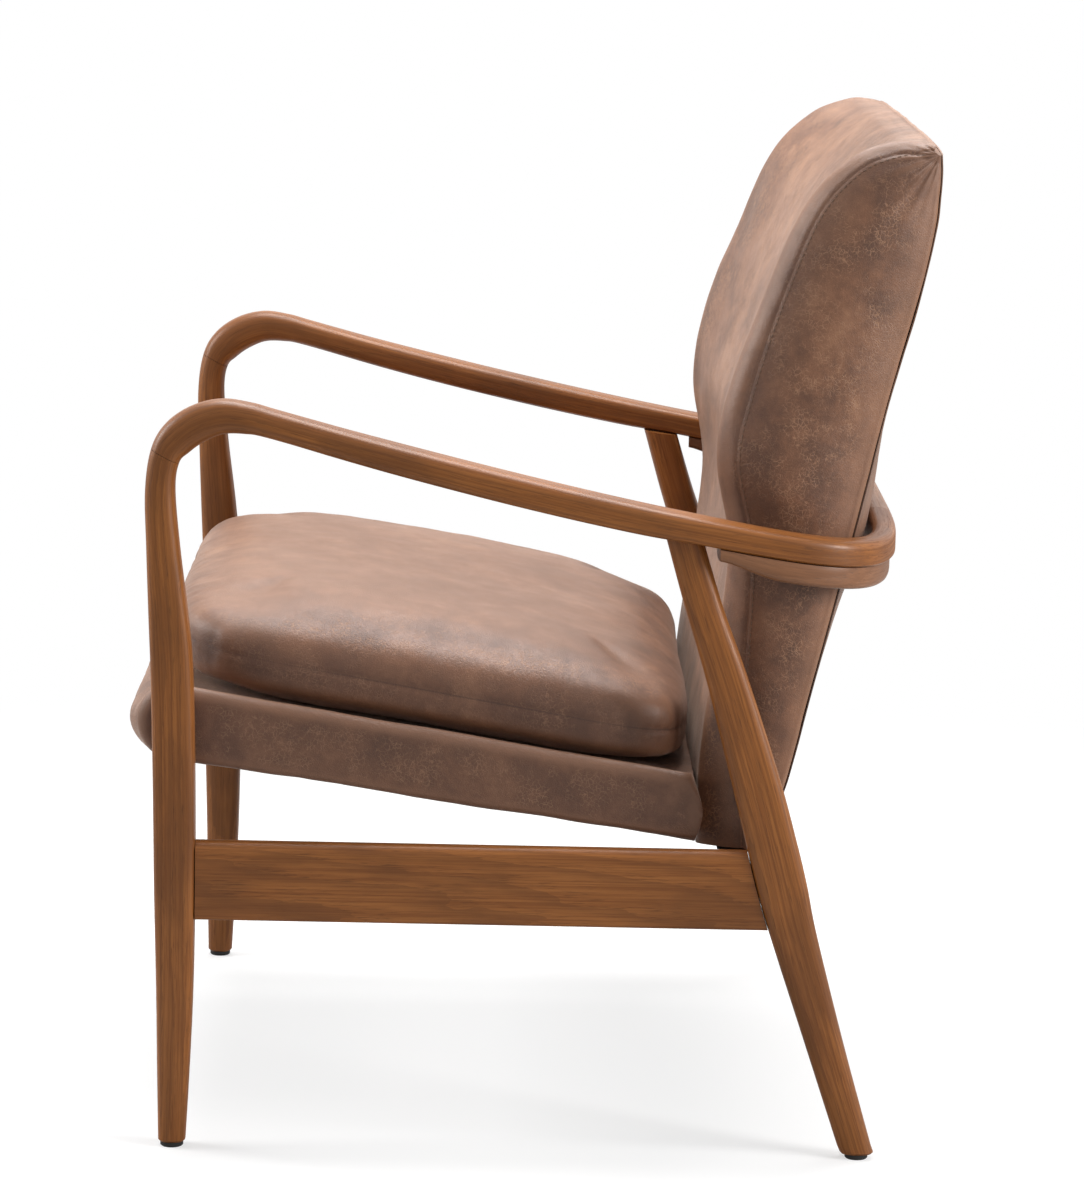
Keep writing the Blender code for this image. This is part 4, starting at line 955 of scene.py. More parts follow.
def from_seam(line: Array, places: Array) -> tuple[Array, Array]:
    """Measures places from a sewn line.

    Args:
        line: Points of the seam.
        places: The places.

    Returns:
        Distance of each place from the seam, and how far along the seam it is.
    """
    along = run_along(line)
    fine = np.linspace(0.0, along[-1], max(2, int(along[-1] / (1.0 * MM))))
    dense = np.stack([np.interp(fine, along, line[:, i]) for i in range(3)], 1)
    tree = KDTree(len(dense))
    for i, point in enumerate(dense):
        tree.insert(point, i)
    tree.balance()
    found = [tree.find(place) for place in places]
    return np.array([item[2] for item in found]), fine[[item[1] for item in found]]


@dataclass(frozen=True)
class Stitching:
    """A row of stitches: distance from stitch to stitch, length of one and radius of the thread."""

    pitch: float
    length: float
    radius: float

    def sew(self, name: str, skin: Piece, line: Array, thread: Finish) -> Piece:
        """Lays the row of stitches on a skin.

        Args:
            name: The piece's name.
            skin: The leather that they lie on.
            line: Points of the row, near the skin.
            thread: The thread's material.

        Returns:
            One object with every stitch of the row.
        """
        tree = BVHTree.FromPolygons([v.co for v in skin.data.vertices], [p.vertices for p in skin.data.polygons])
        along = run_along(line)
        form = Form(name)
        for start in np.arange(0.5 * self.pitch, along[-1] - self.length, self.pitch):
            (near, near_normal), (far, far_normal) = (
                tree.find_nearest(Vector([np.interp(start + step, along, line[:, i]) for i in range(3)]))[:2]
                for step in (0.0, self.length))
            run = far - near
            if run.length < 0.4 * self.length:
                continue
            normal, forward = (near_normal + far_normal).normalized(), run.normalized()
            side = normal.cross(forward).normalized()
            turn = Matrix((side, forward, forward.cross(side) * -1)).transposed().to_4x4()
            middle = 0.5 * (near + far) + normal * 0.25 * self.radius
            made = bmesh.ops.create_uvsphere(form.bm, u_segments=6, v_segments=4, radius=1.0)["verts"]
            bmesh.ops.rotate(form.bm, verts=made, cent=(0, 0, 0), matrix=Matrix.Rotation(QUARTER_TURN, 3, "X"))
            bmesh.ops.scale(form.bm, verts=made, vec=(self.radius, 0.5 * self.length, 0.8 * self.radius))
            bmesh.ops.transform(form.bm, verts=made, matrix=Matrix.Translation(middle) @ turn)
        bmesh.ops.recalc_face_normals(form.bm, faces=form.bm.faces)
        return form.finish(thread)


# Side frames

# Front leg: share of its height, front face and rear face as shares of its depth, squareness
FRONT_LEG_SHARES = (
    (0.000, -0.330, 0.330, 2.6), (0.110, -0.370, 0.420, 3.0), (0.225, -0.403, 0.488, 4.0),
    (0.372, -0.468, 0.515, 5.0), (0.531, -0.518, 0.491, 5.0), (0.681, -0.585, 0.421, 4.5),
    (0.761, -0.644, 0.309, 4.0), (0.867, -0.718, 0.085, 3.2), (0.950, -0.757, -0.040, 2.8),
)
# Rear leg: share of its height, share of its rake, share of its depth, squareness
REAR_LEG_SHARES = (
    (0.000, 0.000, 0.655, 2.6), (0.186, 0.195, 0.765, 3.2), (0.361, 0.372, 0.920, 4.5),
    (0.438, 0.439, 1.000, 5.0), (0.506, 0.497, 0.995, 5.0), (0.612, 0.594, 0.955, 5.0),
    (0.767, 0.751, 0.820, 4.5), (0.884, 0.884, 0.735, 3.6), (1.000, 1.000, 0.700, 3.2),
)
# Where the arm's rows stand between the elbow and the turn of the bow
ARM_SHARES = (0.12, 0.26, 0.42, 0.58, 0.74, 0.88, 1.0)
# Elbow: outer and inner points as shares of its reach, from the corner of its front and its top
ELBOW_SHARES = (
    (0.040, -0.339, 0.228, -0.437), (0.138, -0.168, 0.296, -0.362), (0.305, -0.051, 0.392, -0.291),
    (0.504, 0.000, 0.523, -0.234), (0.705, -0.023, 0.669, -0.229), (0.882, -0.070, 0.820, -0.252),
)


@dataclass
class SideFrame:
    """One side of the chair: front leg, rear leg, arm and stretcher."""

    side: Side
    timbers: dict[str, Finish]
    sides: int = 40
    spans: int = 9
    front_leg_y: float = -0.2886
    front_leg_depth: float = 0.034
    elbow_joint_height: float = 0.5746
    elbow_squareness: tuple[float, float] = (2.8, 3.2)
    arm_squareness: tuple[float, float] = (3.2, 4.4)
    arm_low_squareness: float = 9.0
    arm_start_width_share: float = 0.45
    foot_width: float = 0.022
    leg_taper_share: float = 2.2
    rear_leg_foot_y: float = 0.2768
    rear_leg_top_y: float = 0.1204
    rear_leg_height: float = 0.520
    rear_leg_depth: float = 0.0425
    stretcher_bottom: float = 0.193
    stretcher_height: float = 0.065
    stretcher_thickness: float = 0.021
    stretcher_edge_radius: float = 0.009
    stretcher_low_radius: float = 0.003
    stretcher_steps: int = 36
    bow_steps: int = 44
    glide_radius: float = 0.0095
    glide_chamfer: float = 0.001
    foot_chamfer: float = 0.0015
    leg_length: float = field(init=False, default=0.0)

    @property
    def x(self) -> float:
        """Place of the frame's middle across the chair."""
        return self.side.value * PLAN.frame_half_width

    def leg_half_width(self, share: float) -> float:
        """Half the leg's width across the chair, which tapers towards the foot."""
        return 0.5 * mix(self.foot_width, PLAN.leg_width, ease(share * self.leg_taper_share))

    def limb_rows(self) -> Array:
        """Works out front leg, elbow and arm on one smooth pair of curves.

        Returns:
            Rows of outer y and z, inner y and z, half width and squareness.
        """
        low = PLAN.glide_height + PLAN.gap
        rows = []
        for share, front, rear, squareness in FRONT_LEG_SHARES:
            z = mix(low, self.elbow_joint_height, share)
            rows.append((self.front_leg_y + front * self.front_leg_depth, z,
                         self.front_leg_y + rear * self.front_leg_depth, z,
                         self.leg_half_width(z / self.elbow_joint_height), squareness))
        for i, (outer_y, outer_z, inner_y, inner_z) in enumerate(ELBOW_SHARES):
            share = i / len(ELBOW_SHARES)
            half = mix(self.leg_half_width(1.0), self.arm_start_width_share * PLAN.arm_width, share * share)
            rows.append((PLAN.elbow_front_y + outer_y * PLAN.elbow_reach,
                         PLAN.arm_top_height + outer_z * PLAN.elbow_reach,
                         PLAN.elbow_front_y + inner_y * PLAN.elbow_reach,
                         PLAN.arm_top_height + inner_z * PLAN.elbow_reach,
                         half, mix(*self.elbow_squareness, share)))
        for share in ARM_SHARES:
            y = mix(PLAN.arm_start, PLAN.bow_centre_y, share)
            half = mix(self.arm_start_width_share, 0.5, ease(3 * share)) * PLAN.arm_width
            rows.append((y, PLAN.arm_top(y), y, PLAN.arm_underside(y), half, mix(*self.arm_squareness, share)))
        return spline(rows, self.spans)

    def limb_ring(self, row: Array, x: float, under: float | None = None) -> Ring:
        """Sets one ring across the leg, the elbow or the arm.

        Args:
            row: One of the limb's rows.
            x: Place across the chair.
            under: Squareness of the lower half, where it differs.

        Returns:
            The points of the ring.
        """
        outer_y, outer_z, inner_y, inner_z, half, squareness = row
        outer, inner = Vector((x, outer_y, outer_z)), Vector((x, inner_y, inner_z))
        return section(0.5 * (outer + inner), Vector((self.side.value * half, 0, 0)), 0.5 * (outer - inner),
                       squareness, self.sides, under)

    def rear_stations(self) -> Array:
        """Works out the rear leg.

        Returns:
            Rows of height, middle y, half depth and squareness.
        """
        low = PLAN.glide_height + PLAN.gap
        return spline([(mix(low, self.rear_leg_height, share),
                        mix(self.rear_leg_foot_y, self.rear_leg_top_y, rake),
                        0.5 * depth * self.rear_leg_depth, squareness)
                       for share, rake, depth, squareness in REAR_LEG_SHARES], self.spans)

    def chamfered(self, rings: list[Ring]) -> list[Ring]:
        """Chamfers the foot of a leg.

        Args:
            rings: The leg's rings, from the foot up.

        Returns:
            The rings with the foot's first one in two steps.
        """
        foot, middle = rings[0], middle_of(rings[0])
        shrunk = [point + (middle - point).normalized() * self.foot_chamfer for point in foot]
        raised = [point + Vector((0, 0, self.foot_chamfer)) for point in foot]
        return [shrunk, raised] + rings[1:]

    def build_front_leg(self) -> None:
        """Builds the front leg, which bends forwards into the elbow."""
        rows = self.limb_rows()[:len(FRONT_LEG_SHARES) * self.spans + 1]
        rings = self.chamfered([self.limb_ring(row, self.x) for row in rows])
        self.leg_length = build_member(f"leg_front_{self.side.word}", rings, (0.7 * self.side.value, 0.004, 0.013),
                                       self.timbers["leg"], f"front_leg_{self.side.word}")

    def build_rear_leg(self) -> None:
        """Builds the rear leg, whose head is cut to the underside of the arm."""
        rings = []
        for z, y, half_y, squareness in self.rear_stations():
            across = Vector((self.side.value * self.leg_half_width(z / self.rear_leg_height), 0, 0))
            rings.append(section(Vector((self.x, y, z)), across, Vector((0, half_y, 0)), squareness, self.sides))
        rings = self.chamfered(rings)
        lean = middle_of(rings[-1]) - middle_of(rings[-6])
        kept = [ring for ring in rings if all(p.z < PLAN.arm_underside(p.y) - 2 * PLAN.gap for p in ring)]
        head = []
        for point in kept[-1]:
            for _ in range(6):
                point = point + lean * ((PLAN.arm_underside(point.y) - PLAN.gap - point.z) / lean.z)
            head.append(point)
        build_member(f"leg_rear_{self.side.word}", kept + [head], (1.9 * self.side.value, -0.006, 0.010),
                     self.timbers["leg"], f"rear_leg_{self.side.word}")

    def build_arm(self) -> None:
        """Builds the arm, from the elbow to its glued joint in the bow behind the back."""
        rings, sign = [], self.side.value
        for row in self.limb_rows()[len(FRONT_LEG_SHARES) * self.spans:-1]:
            share = PLAN.arm_share(0.5 * (row[0] + row[2]))
            x = mix(PLAN.frame_half_width, PLAN.bow_middle, ease(share))
            rings.append(self.limb_ring(row, sign * x, mix(row[5], self.arm_low_squareness, share)))
        away = (middle_of(rings[1]) - middle_of(rings[0])).normalized()
        rings[0] = [point + away * PLAN.gap for point in rings[0]]
        rings += [PLAN.bow_ring(PLAN.bow_joint * i / self.bow_steps, self.sides, sign)
                  for i in range(self.bow_steps + 1)]
        build_member(f"armrest_{self.side.word}", rings, (0.7 * sign + self.leg_length, 0.004, 0.013),
                     self.timbers["leg"], f"arm_{self.side.word}")

    def board_outline(self) -> list[tuple[float, float]]:
        """Rounds the stretcher along its long edges.

        Returns:
            Points of its section, across the board and in height.
        """
        half, low = 0.5 * self.stretcher_thickness, self.stretcher_bottom
        high = low + self.stretcher_height
        outline = []
        corners = ((1, high, self.stretcher_edge_radius, 0), (-1, high, self.stretcher_edge_radius, 1),
                   (-1, low, self.stretcher_low_radius, 2), (1, low, self.stretcher_low_radius, 3))
        for across, z, radius, quarter in corners:
            centre_z = z - radius if z == high else z + radius
            for i in range(9):
                angle = QUARTER_TURN * (quarter + i / 8)
                outline.append((across * (half - radius) + radius * math.cos(angle),
                                centre_z + radius * math.sin(angle)))
            if quarter in (1, 3):
                outline += [(across * half, mix(low, high, abs(share - (quarter == 1))))
                            for share in np.linspace(0.22, 0.74, 8)]
        return outline

    def build_stretcher(self) -> None:
        """Builds the board between the legs, cut to meet both of them."""
        front, rear = self.limb_rows()[:7 * self.spans], self.rear_stations()
        ends = [(x, z, np.interp(z, front[:, 3], front[:, 2]) + PLAN.gap,
                 np.interp(z, rear[:, 0], rear[:, 1] - rear[:, 2]) - PLAN.gap) for x, z in self.board_outline()]
        form = Form(f"stretcher_{self.side.word}")
        form.loft([[Vector((self.x + x, mix(start, end, i / self.stretcher_steps), z))
                    for x, z, start, end in ends] for i in range(self.stretcher_steps + 1)])
        for corner in (corner for row in form.rows for corner in row):
            corner[form.grain] = (corner.co.y + 5.3 + 0.4 * self.side.value, corner.co.z - 0.236,
                                  abs(corner.co.x) - PLAN.frame_half_width - 0.004)
        board = form.finish(self.timbers["board"])
        dress(board, Body.FRAME, Slot.TIMBER, f"side_stretcher_{self.side.word}")

    def build_glides(self) -> None:
        """Builds the thin discs under the feet, turned from their profile."""
        profile = ((0.0, 0.0), (self.glide_radius - self.glide_chamfer, 0.0),
                   (self.glide_radius, self.glide_chamfer), (self.glide_radius, PLAN.glide_height),
                   (0.0, PLAN.glide_height))
        for end, y in (("front", self.front_leg_y), ("rear", self.rear_leg_foot_y)):
            form = Form(f"glide_{end}_{self.side.word}")
            corners = [form.bm.verts.new((radius, 0.0, z)) for radius, z in profile]
            edges = [form.bm.edges.new(pair) for pair in zip(corners, corners[1:])]
            bmesh.ops.spin(form.bm, geom=corners + edges, cent=(0, 0, 0), axis=(0, 0, 1),
                           angle=2 * math.pi, steps=40, use_merge=True)
            bmesh.ops.remove_doubles(form.bm, verts=form.bm.verts, dist=0.01 * MM)
            bmesh.ops.recalc_face_normals(form.bm, faces=form.bm.faces)
            bmesh.ops.translate(form.bm, verts=form.bm.verts, vec=(self.x, y, 0.0))
            glide = form.finish(self.timbers["glide"], 30.0)
            dress(glide, Body.FRAME, Slot.GLIDE, f"foot_glide_{end}_{self.side.word}")

    def build(self) -> None:
        """Builds every piece of the side frame."""
        self.build_front_leg()
        self.build_rear_leg()
        self.build_arm()
        self.build_stretcher()
        self.build_glides()


@dataclass
class RearBow:
    """The rear piece of the bow and the support rail under it."""

    timbers: dict[str, Finish]
    sides: int = 40
    steps: int = 30
    rail_sides: int = 36
    rail_steps: int = 110
    rail_inset: float = 0.0018
    rail_rear_inset: float = 0.0045
    rail_lip: float = 0.002
    rail_thickness: float = 0.0185
    rail_end_thickness: float = 0.0105
    rail_start: float = 0.032
    rail_end_length_share: float = 0.10
    rail_top_squareness: float = 22.0
    rail_low_squareness: float = 4.5

    def build_bow(self) -> None:
        """Builds the short bent piece between the two arms, glued to both."""
        rings = [PLAN.bow_ring(mix(PLAN.bow_joint, math.pi - PLAN.bow_joint, i / self.steps), self.sides)
                 for i in range(self.steps + 1)]
        for end, way in ((0, -1), (-1, 1)):
            rings[end] = [point + Vector((way * PLAN.gap, 0, 0)) for point in rings[end]]
        build_member("bow_behind_back", rings, (7.7, 0.003, 0.006), self.timbers["bow"], "back_bow")

    def build_rail(self) -> None:
        """Builds the support rail, which follows the bow's underside and thins out to blunt ends."""
        rings = []
        start = math.atan2(self.rail_start, PLAN.bow_inner_half_width)
        for i in range(self.rail_steps + 1):
            share = i / self.rail_steps
            near, far = PLAN.bow_faces(mix(start, math.pi - start, share), 1, self.rail_lip, self.rail_inset,
                                       self.rail_rear_inset)
            middle = 0.5 * (near + far)
            thick = mix(self.rail_end_thickness, self.rail_thickness,
                        ease(min(share, 1 - share) / self.rail_end_length_share))
            middle.z = PLAN.arm_top(middle.y) - PLAN.bow_thickness - PLAN.gap - 0.5 * thick
            rings.append(section(middle, 0.5 * (far - near), Vector((0, 0, 0.5 * thick)),
                                 self.rail_top_squareness, self.rail_sides, self.rail_low_squareness))
        build_member("support_rail_under_bow", rings, (9.4, -0.002, 0.009), self.timbers["rail"],
                     "bow_support_rail")

    def build(self) -> None:
        """Builds both pieces."""
        self.build_bow()
        self.build_rail()


@dataclass
class SeatBase:
    """The leather-covered seat frame between the side frames."""

    leathers: dict[str, Finish]
    nose_reach: float = 0.038
    nose_lip: float = 0.020
    nose_corner_draw: float = 0.0125
    nose_corner: float = 0.058
    top_radius: float = 0.013
    low_radius: float = 0.006
    rim_rise: float = 0.0095
    rim_width: float = 0.022
    rim_inset: float = 0.004
    rear_reach: float = 0.0065
    rear_width: float = 0.022
    rear_spine_inset: float = 0.024
    recess: float = 0.0026
    side_lip: float = 0.0078
    deck_steps: int = 56
    nose_steps: int = 28
    under_steps: int = 40
    skin_inset: float = 0.0002
    skin_waves: tuple[Wave, ...] = (Wave(0.0006, 0.055, 3.1), Wave(0.0003, 0.021, 8.4))
    sag_waves: tuple[Wave, ...] = (Wave(0.0011, 0.060, 4.4), Wave(0.00055, 0.021, 2.8))
    wear_radius: float = 0.020

    def past_side(self, x: float, width: float) -> float:
        """How far a place across the chair lies in the strip of a width along the side."""
        return abs(x) - PLAN.seat_half_width + width

    def rounding(self, x: float, radius: float) -> float:
        """How far a long edge of the base has rounded off at a place across the chair."""
        past = min(radius, max(0.0, self.past_side(x, radius)))
        return radius - math.sqrt(radius * radius - past * past)

    def deck(self, x: float, y: float) -> float:
        """Height of the cover, whose padding rolls up along its sides."""
        rim = ease(self.past_side(x, self.rim_width + self.rim_inset) / self.rim_width)
        return PLAN.deck_height(y) + self.rim_rise * rim - self.rounding(x, self.top_radius)

    def base(self, x: float, y: float) -> float:
        """Height of the underside."""
        return PLAN.base_height(y) + self.rounding(x, self.low_radius)

    def rear(self, x: float, share: float) -> float:
        """Finds the rear end, which swells round the foot of the back at its sides.

        Args:
            x: Place across the chair.
            share: 0 at the underside and 1 at the deck.

        Returns:
            The place along the chair.
        """
        out = ease(self.past_side(x, self.rear_width) / self.rear_width)
        fall = 1.75 if share > 0.5 else 0.9
        swell = self.rear_reach * (1 - fall * (2 * share - 1) ** 2)
        return PLAN.seat_rear_y - PLAN.gap + out * swell

    def outline(self, x: float, recessed: bool) -> Ring:
        """Sets one ring of the base: the deck forwards, round the nose, back underneath and up the rear.

        Args:
            x: Place across the chair.
            recessed: Whether the underside stands back for the dust cloth.

        Returns:
            The points of the ring.
        """
        nose_y = PLAN.seat_front_y + self.nose_reach
        high, low = self.deck(x, nose_y), self.base(x, nose_y)
        middle, half = 0.5 * (high + low), 0.5 * (high - low)
        past = max(0.0, self.past_side(x, self.nose_corner)) / self.nose_corner
        reach = self.nose_reach - self.nose_corner_draw * past * past - self.rounding(x, self.low_radius)
        lip_y = nose_y + self.nose_lip
        points = [Vector((x, y, self.deck(x, y)))
                  for y in np.linspace(self.rear(x, 1.0), nose_y, self.deck_steps, endpoint=False)]
        for angle in math.pi * np.arange(self.nose_steps + 1) / self.nose_steps:
            points.append(Vector((x, nose_y - reach * math.sin(angle), middle + half * math.cos(angle))))
        step = self.recess if recessed else 0.0
        points.append(Vector((x, lip_y, self.base(x, lip_y))))
        points += [Vector((x, y, self.base(x, y) + step))
                   for y in np.linspace(lip_y + 0.5 * MM, self.rear(x, 0.0), self.under_steps)]
        for share in np.linspace(0.0, 1.0, 10)[1:-1]:
            y = self.rear(x, share)
            points.append(Vector((x, y, mix(self.base(x, y) + step, self.deck(x, y), share))))
        return points

    def side_rings(self, sign: int) -> list[Ring]:
        """Sets the rings of one half of the base.

        Args:
            sign: Sign of X.

        Returns:
            The rings from the middle plane to the middle of the side panel.
        """
        outer = PLAN.seat_half_width
        inner, rim, edge = outer - self.side_lip, outer - self.rim_width, outer - self.top_radius
        turns = QUARTER_TURN * np.linspace(0.0, 1.0, 13)
        places = [*np.linspace(0.0, rim - self.rim_inset, 44), *np.linspace(rim - 2 * MM, edge, 6, endpoint=False),
                  *(outer - self.top_radius * (1 - np.sin(turns))), inner, inner + 0.4 * MM]
        rings = [self.outline(sign * x, x <= inner) for x in sorted(places)]
        flat = rings[-1]
        for share in np.linspace(0.0, 0.94, 8)[1:]:
            rings.append([self.towards_spine(point, share) for point in flat])
        return rings

    def towards_spine(self, point: Vector, share: float) -> Vector:
        """Draws a point of the side panel towards the line along the panel's middle.

        Args:
            point: The point.
            share: How much of the way.

        Returns:
            Its new place.
        """
        y = min(max(point.y, PLAN.seat_front_y + self.nose_reach), PLAN.seat_rear_y - self.rear_spine_inset)
        spine = Vector((point.x, y, 0.5 * (self.deck(point.x, y) + self.base(point.x, y))))
        return mix(point, spine, share)

    def build(self) -> None:
        """Builds the cover with its rounded nose and side panels, over its padding."""
        form = Form("seat_base_leather")
        form.loft(self.side_rings(-1)[:0:-1] + self.side_rings(1))
        piece = form.finish(self.leathers["base"], 60.0)
        mesh = piece.data
        mesh.materials.append(self.leathers["base_side"])
        flat = PLAN.seat_half_width - 0.35 * self.low_radius
        for face in mesh.polygons:
            face.material_index = int(abs(face.center.x) > flat)
        points, normals = read_points(mesh), read_points(mesh, "normal")
        free = np.clip((PLAN.seat_half_width - 0.1 * MM - np.abs(points[:, 0])) / (4 * MM), 0.0, 1.0)
        points += normals * ((waves_at(self.skin_waves, points) - self.skin_inset) * free)[:, None]

        # The lower edge waves a little between its staples
        high = np.array([PLAN.deck_height(y) for y in points[:, 1]])
        sag = np.clip((high - points[:, 2]) / PLAN.base_front_depth, 0.0, 1.0) ** 2
        along = np.stack([points[:, 1], np.sign(points[:, 0]), np.zeros(len(points))], 1)
        points[:, 2] += sag * waves_at(self.sag_waves, along)
        write_points(mesh, points)
        # Painted shade: the seam value darkens the side panel and its rounded edges towards the shadow colour
        write_value(mesh, "seam", np.abs(np.abs(points[:, 0]) - flat) * 3 + 1.5 * MM)
        mark_wear(piece, self.wear_radius)
        dress(piece, Body.FRAME, Slot.LEATHER, "seat_cover", "seat_side_panel_left", "seat_side_panel_right",
              "seat_foam")


@dataclass
class SeatCushion:
    """The loose seat cushion: a crowned top panel and a shallow bottom panel, sewn together round the side."""

    leathers: dict[str, Finish]
    front_y: float = -0.3056
    rear_y: float = 0.1369
    half_width: float = 0.2995
    front_seam: float = 0.039
    rear_seam: float = 0.0345
    front_crown: float = 0.0475
    middle_crown: float = 0.0560
    rear_crown: float = 0.0485
    draw_in: float = 0.0035
    front_squareness: float = 5.0
    rear_squareness: float = 7.5
    crown_squareness: float = 3.0
    top_fullness: float = 3.5
    low_fullness: float = 8.0
    lean: float = 0.12
    start_inset: float = 0.003
    cells: tuple[int, int] = (104, 84)
    padding: Padding = Padding(pressure=4.0, cap=0.0045)
    held_width: float = 0.0022
    back_clearance: float = -0.0008
    seam_grooves: tuple[tuple[float, float], ...] = ((0.0013, 0.0016), (0.0010, 0.006))
    seam_gathers: tuple[Wave, ...] = (Wave(0.0011, 0.013, 2.3), Wave(0.00066, 0.006, 5.9))
    front_gathers: Wave = Wave(0.0011, 0.010, 11.3)
    skin_waves: tuple[Wave, ...] = (Wave(0.0012, 0.07, 1.4), Wave(0.0005, 0.024, 6.1))
    tuck_folds: Wave = Wave(0.45, 0.30, 1.9)
    # Corner tucks: place along the chair, height over the deck, depth and radius
    tucks: tuple[tuple[float, ...], ...] = ((0.1290, 0.083, 0.0042, 0.012), (-0.2830, 0.062, 0.0030, 0.011))
    tuck_inset: float = 0.006
    wear_radius: float = 0.030
    # Paleness painted on faces turned up: a painted highlight
    top_highlight: float = 0.75

    @property
    def middle_y(self) -> float:
        """Place of the cushion's middle along the chair."""
        return 0.5 * (self.rear_y + self.front_y)

    @property
    def half_depth(self) -> float:
        """Half its length from front to rear."""
        return 0.5 * (self.rear_y - self.front_y)

    def crown(self, y: float) -> float:
        """Height of the crown over the seam, fullest in the middle, at a place from there."""
        share = min(1.0, max(0.0, 0.5 + y / (self.rear_y - self.front_y)))
        return mix(mix(self.front_crown, self.rear_crown, share), self.middle_crown, math.sin(math.pi * share))

    def point(self, angle: float, step: float, way: int, inset: float) -> Vector:
        """Sets a point of the skin.

        Args:
            angle: Direction seen from above.
            step: 0 at the seam and 1 at the middle of the panel.
            way: 1 on the top panel and -1 on the bottom panel.
            inset: How far the skin starts inside its final place.

        Returns:
            The point in the chair's frame.
        """
        turn = QUARTER_TURN * step
        fullness = self.top_fullness if way > 0 else self.low_fullness
        share = math.cos(turn) ** (2 / fullness) if step < 1 else 0.0
        corner = mix(self.front_squareness, self.rear_squareness, 0.5 + 0.5 * math.sin(angle))
        a, b = superellipse(angle, mix(self.crown_squareness, corner, share))
        drawn = 1 - self.draw_in / self.half_width * share * math.cos(2 * angle) ** 2
        inset *= math.sin(turn)
        x = (self.half_width * share * drawn - inset * share) * a
        y = (self.half_depth * share * drawn - inset * share) * b
        depth = 0.5 + y / (self.rear_y - self.front_y)
        rear = max(0.0, depth) if way > 0 else 0.0
        lift = math.sin(turn) ** (2 / (fullness + rear))
        seam = mix(self.front_seam, self.rear_seam, depth)
        height = self.crown(y) - inset if way > 0 else seam - 2 * PLAN.gap
        rise = seam + way * lift * height
        lean = self.lean * max(0.0, rise - self.rear_seam) * ease(2 * depth - 1)
        return Vector((x, self.middle_y + y + lean, PLAN.deck_height(self.middle_y + y) + PLAN.gap + rise))

    def steps_by_length(self, way: int) -> Callable[[float], float]:
        """Finds the steps that lie evenly along the skin.

        Args:
            way: 1 on the top panel and -1 on the bottom panel.

        Returns:
            A function from the share of the length, from the middle to the seam, to the step.
        """
        steps = np.linspace(0.0, 1.0, 400)[::-1]
        along = run_along(np.array([self.point(0.25, step, way, 0.0) for step in steps]))
        return lambda share: float(np.interp(share * along[-1], along, steps))

    def panel(self, form: Form, way: int) -> None:
        """Shapes one panel from a grid to the rounded outline and the crown.

        Args:
            form: The cushion in the making.
            way: 1 for the top panel and -1 for the bottom panel.
        """
        made = bmesh.ops.create_grid(form.bm, x_segments=self.cells[0], y_segments=self.cells[1], size=1.0)["verts"]
        read_step = self.steps_by_length(way)
        for corner in made:
            u, v = corner.co.x, corner.co.y
            reach = max(abs(u), abs(v))
            angle = math.atan2(v, u) if reach > 1e-6 else 0.0
            corner.co = self.point(angle, read_step(min(1.0, reach)), way, self.start_inset)

    def build(self) -> None:
        """Builds the cushion, filled by simulation, with its seam drawn in and puckered."""
        form = Form("seat_cushion_leather")
        self.panel(form, 1)
        self.panel(form, -1)
        bmesh.ops.remove_doubles(form.bm, verts=form.bm.verts, dist=0.2 * MM)
        bmesh.ops.recalc_face_normals(form.bm, faces=form.bm.faces)
        piece = form.finish(self.leathers["cushion"], 180.0)
        turns = np.linspace(0.5 * math.pi, 2.5 * math.pi, 400)
        seam = np.array([self.point(angle, 0.0, 1, 0.0) for angle in turns])
        distance, _ = from_seam(seam, read_points(piece.data))
        self.padding.fill(piece, np.flatnonzero(distance < self.held_width).tolist())
        self.rest_on_deck(piece)
        subdivide(piece)
        self.pucker(piece, seam)
        self.rest_on_deck(piece)
        mark_wear(piece, self.wear_radius)
        # Painted highlight: faces turned up are paled as if lit from above
        upward = np.clip((read_points(piece.data, "normal")[:, 2] - 0.70) / 0.30, 0.0, 1.0)
        write_value(piece.data, "wear_and_highlight", np.maximum(read_value(piece.data, "wear_and_highlight"), self.top_highlight * upward ** 2))
        dress(piece, Body.CUSHION, Slot.LEATHER, "cushion_cover_top", "cushion_cover_bottom", "cushion_filling")

    def rest_on_deck(self, piece: Piece) -> None:
        """Flattens the cushion where it lies on the deck and where it meets the back.

        Args:
            piece: The cushion.
        """
        points = read_points(piece.data)
        floor = np.array([PLAN.deck_height(y) for y in points[:, 1]]) + 2 * PLAN.gap
        points[:, 2] = np.maximum(points[:, 2], floor)
        rise = points[:, 2] - floor
        wall = self.rear_y - self.back_clearance + self.lean * np.maximum(0.0, rise - self.rear_seam)
        points[:, 1] = np.minimum(points[:, 1], wall)
        write_points(piece.data, points)

    def tuck(self, away: Array, deep: float, radius: float) -> Array:
        """Dimples a corner where the panel was eased in, with folds that run out from it.

        Args:
            away: Way of each point from the middle of the dimple.
            deep: Depth of the dimple.
            radius: Its radius.

        Returns:
            How far each point moves outwards.
        """
        far = np.linalg.norm(away, axis=1)
        turn = np.arctan2(away[:, 2], np.hypot(away[:, 0], away[:, 1]) * np.sign(away[:, 1]))
        rays = np.stack([np.cos(turn), np.sin(turn), far * 6.0], 1)
        near = bell(far, 2.6 * radius) * np.clip(far / radius, 0, 1)
        return deep * (near * self.tuck_folds.at(rays) - bell(far, radius))

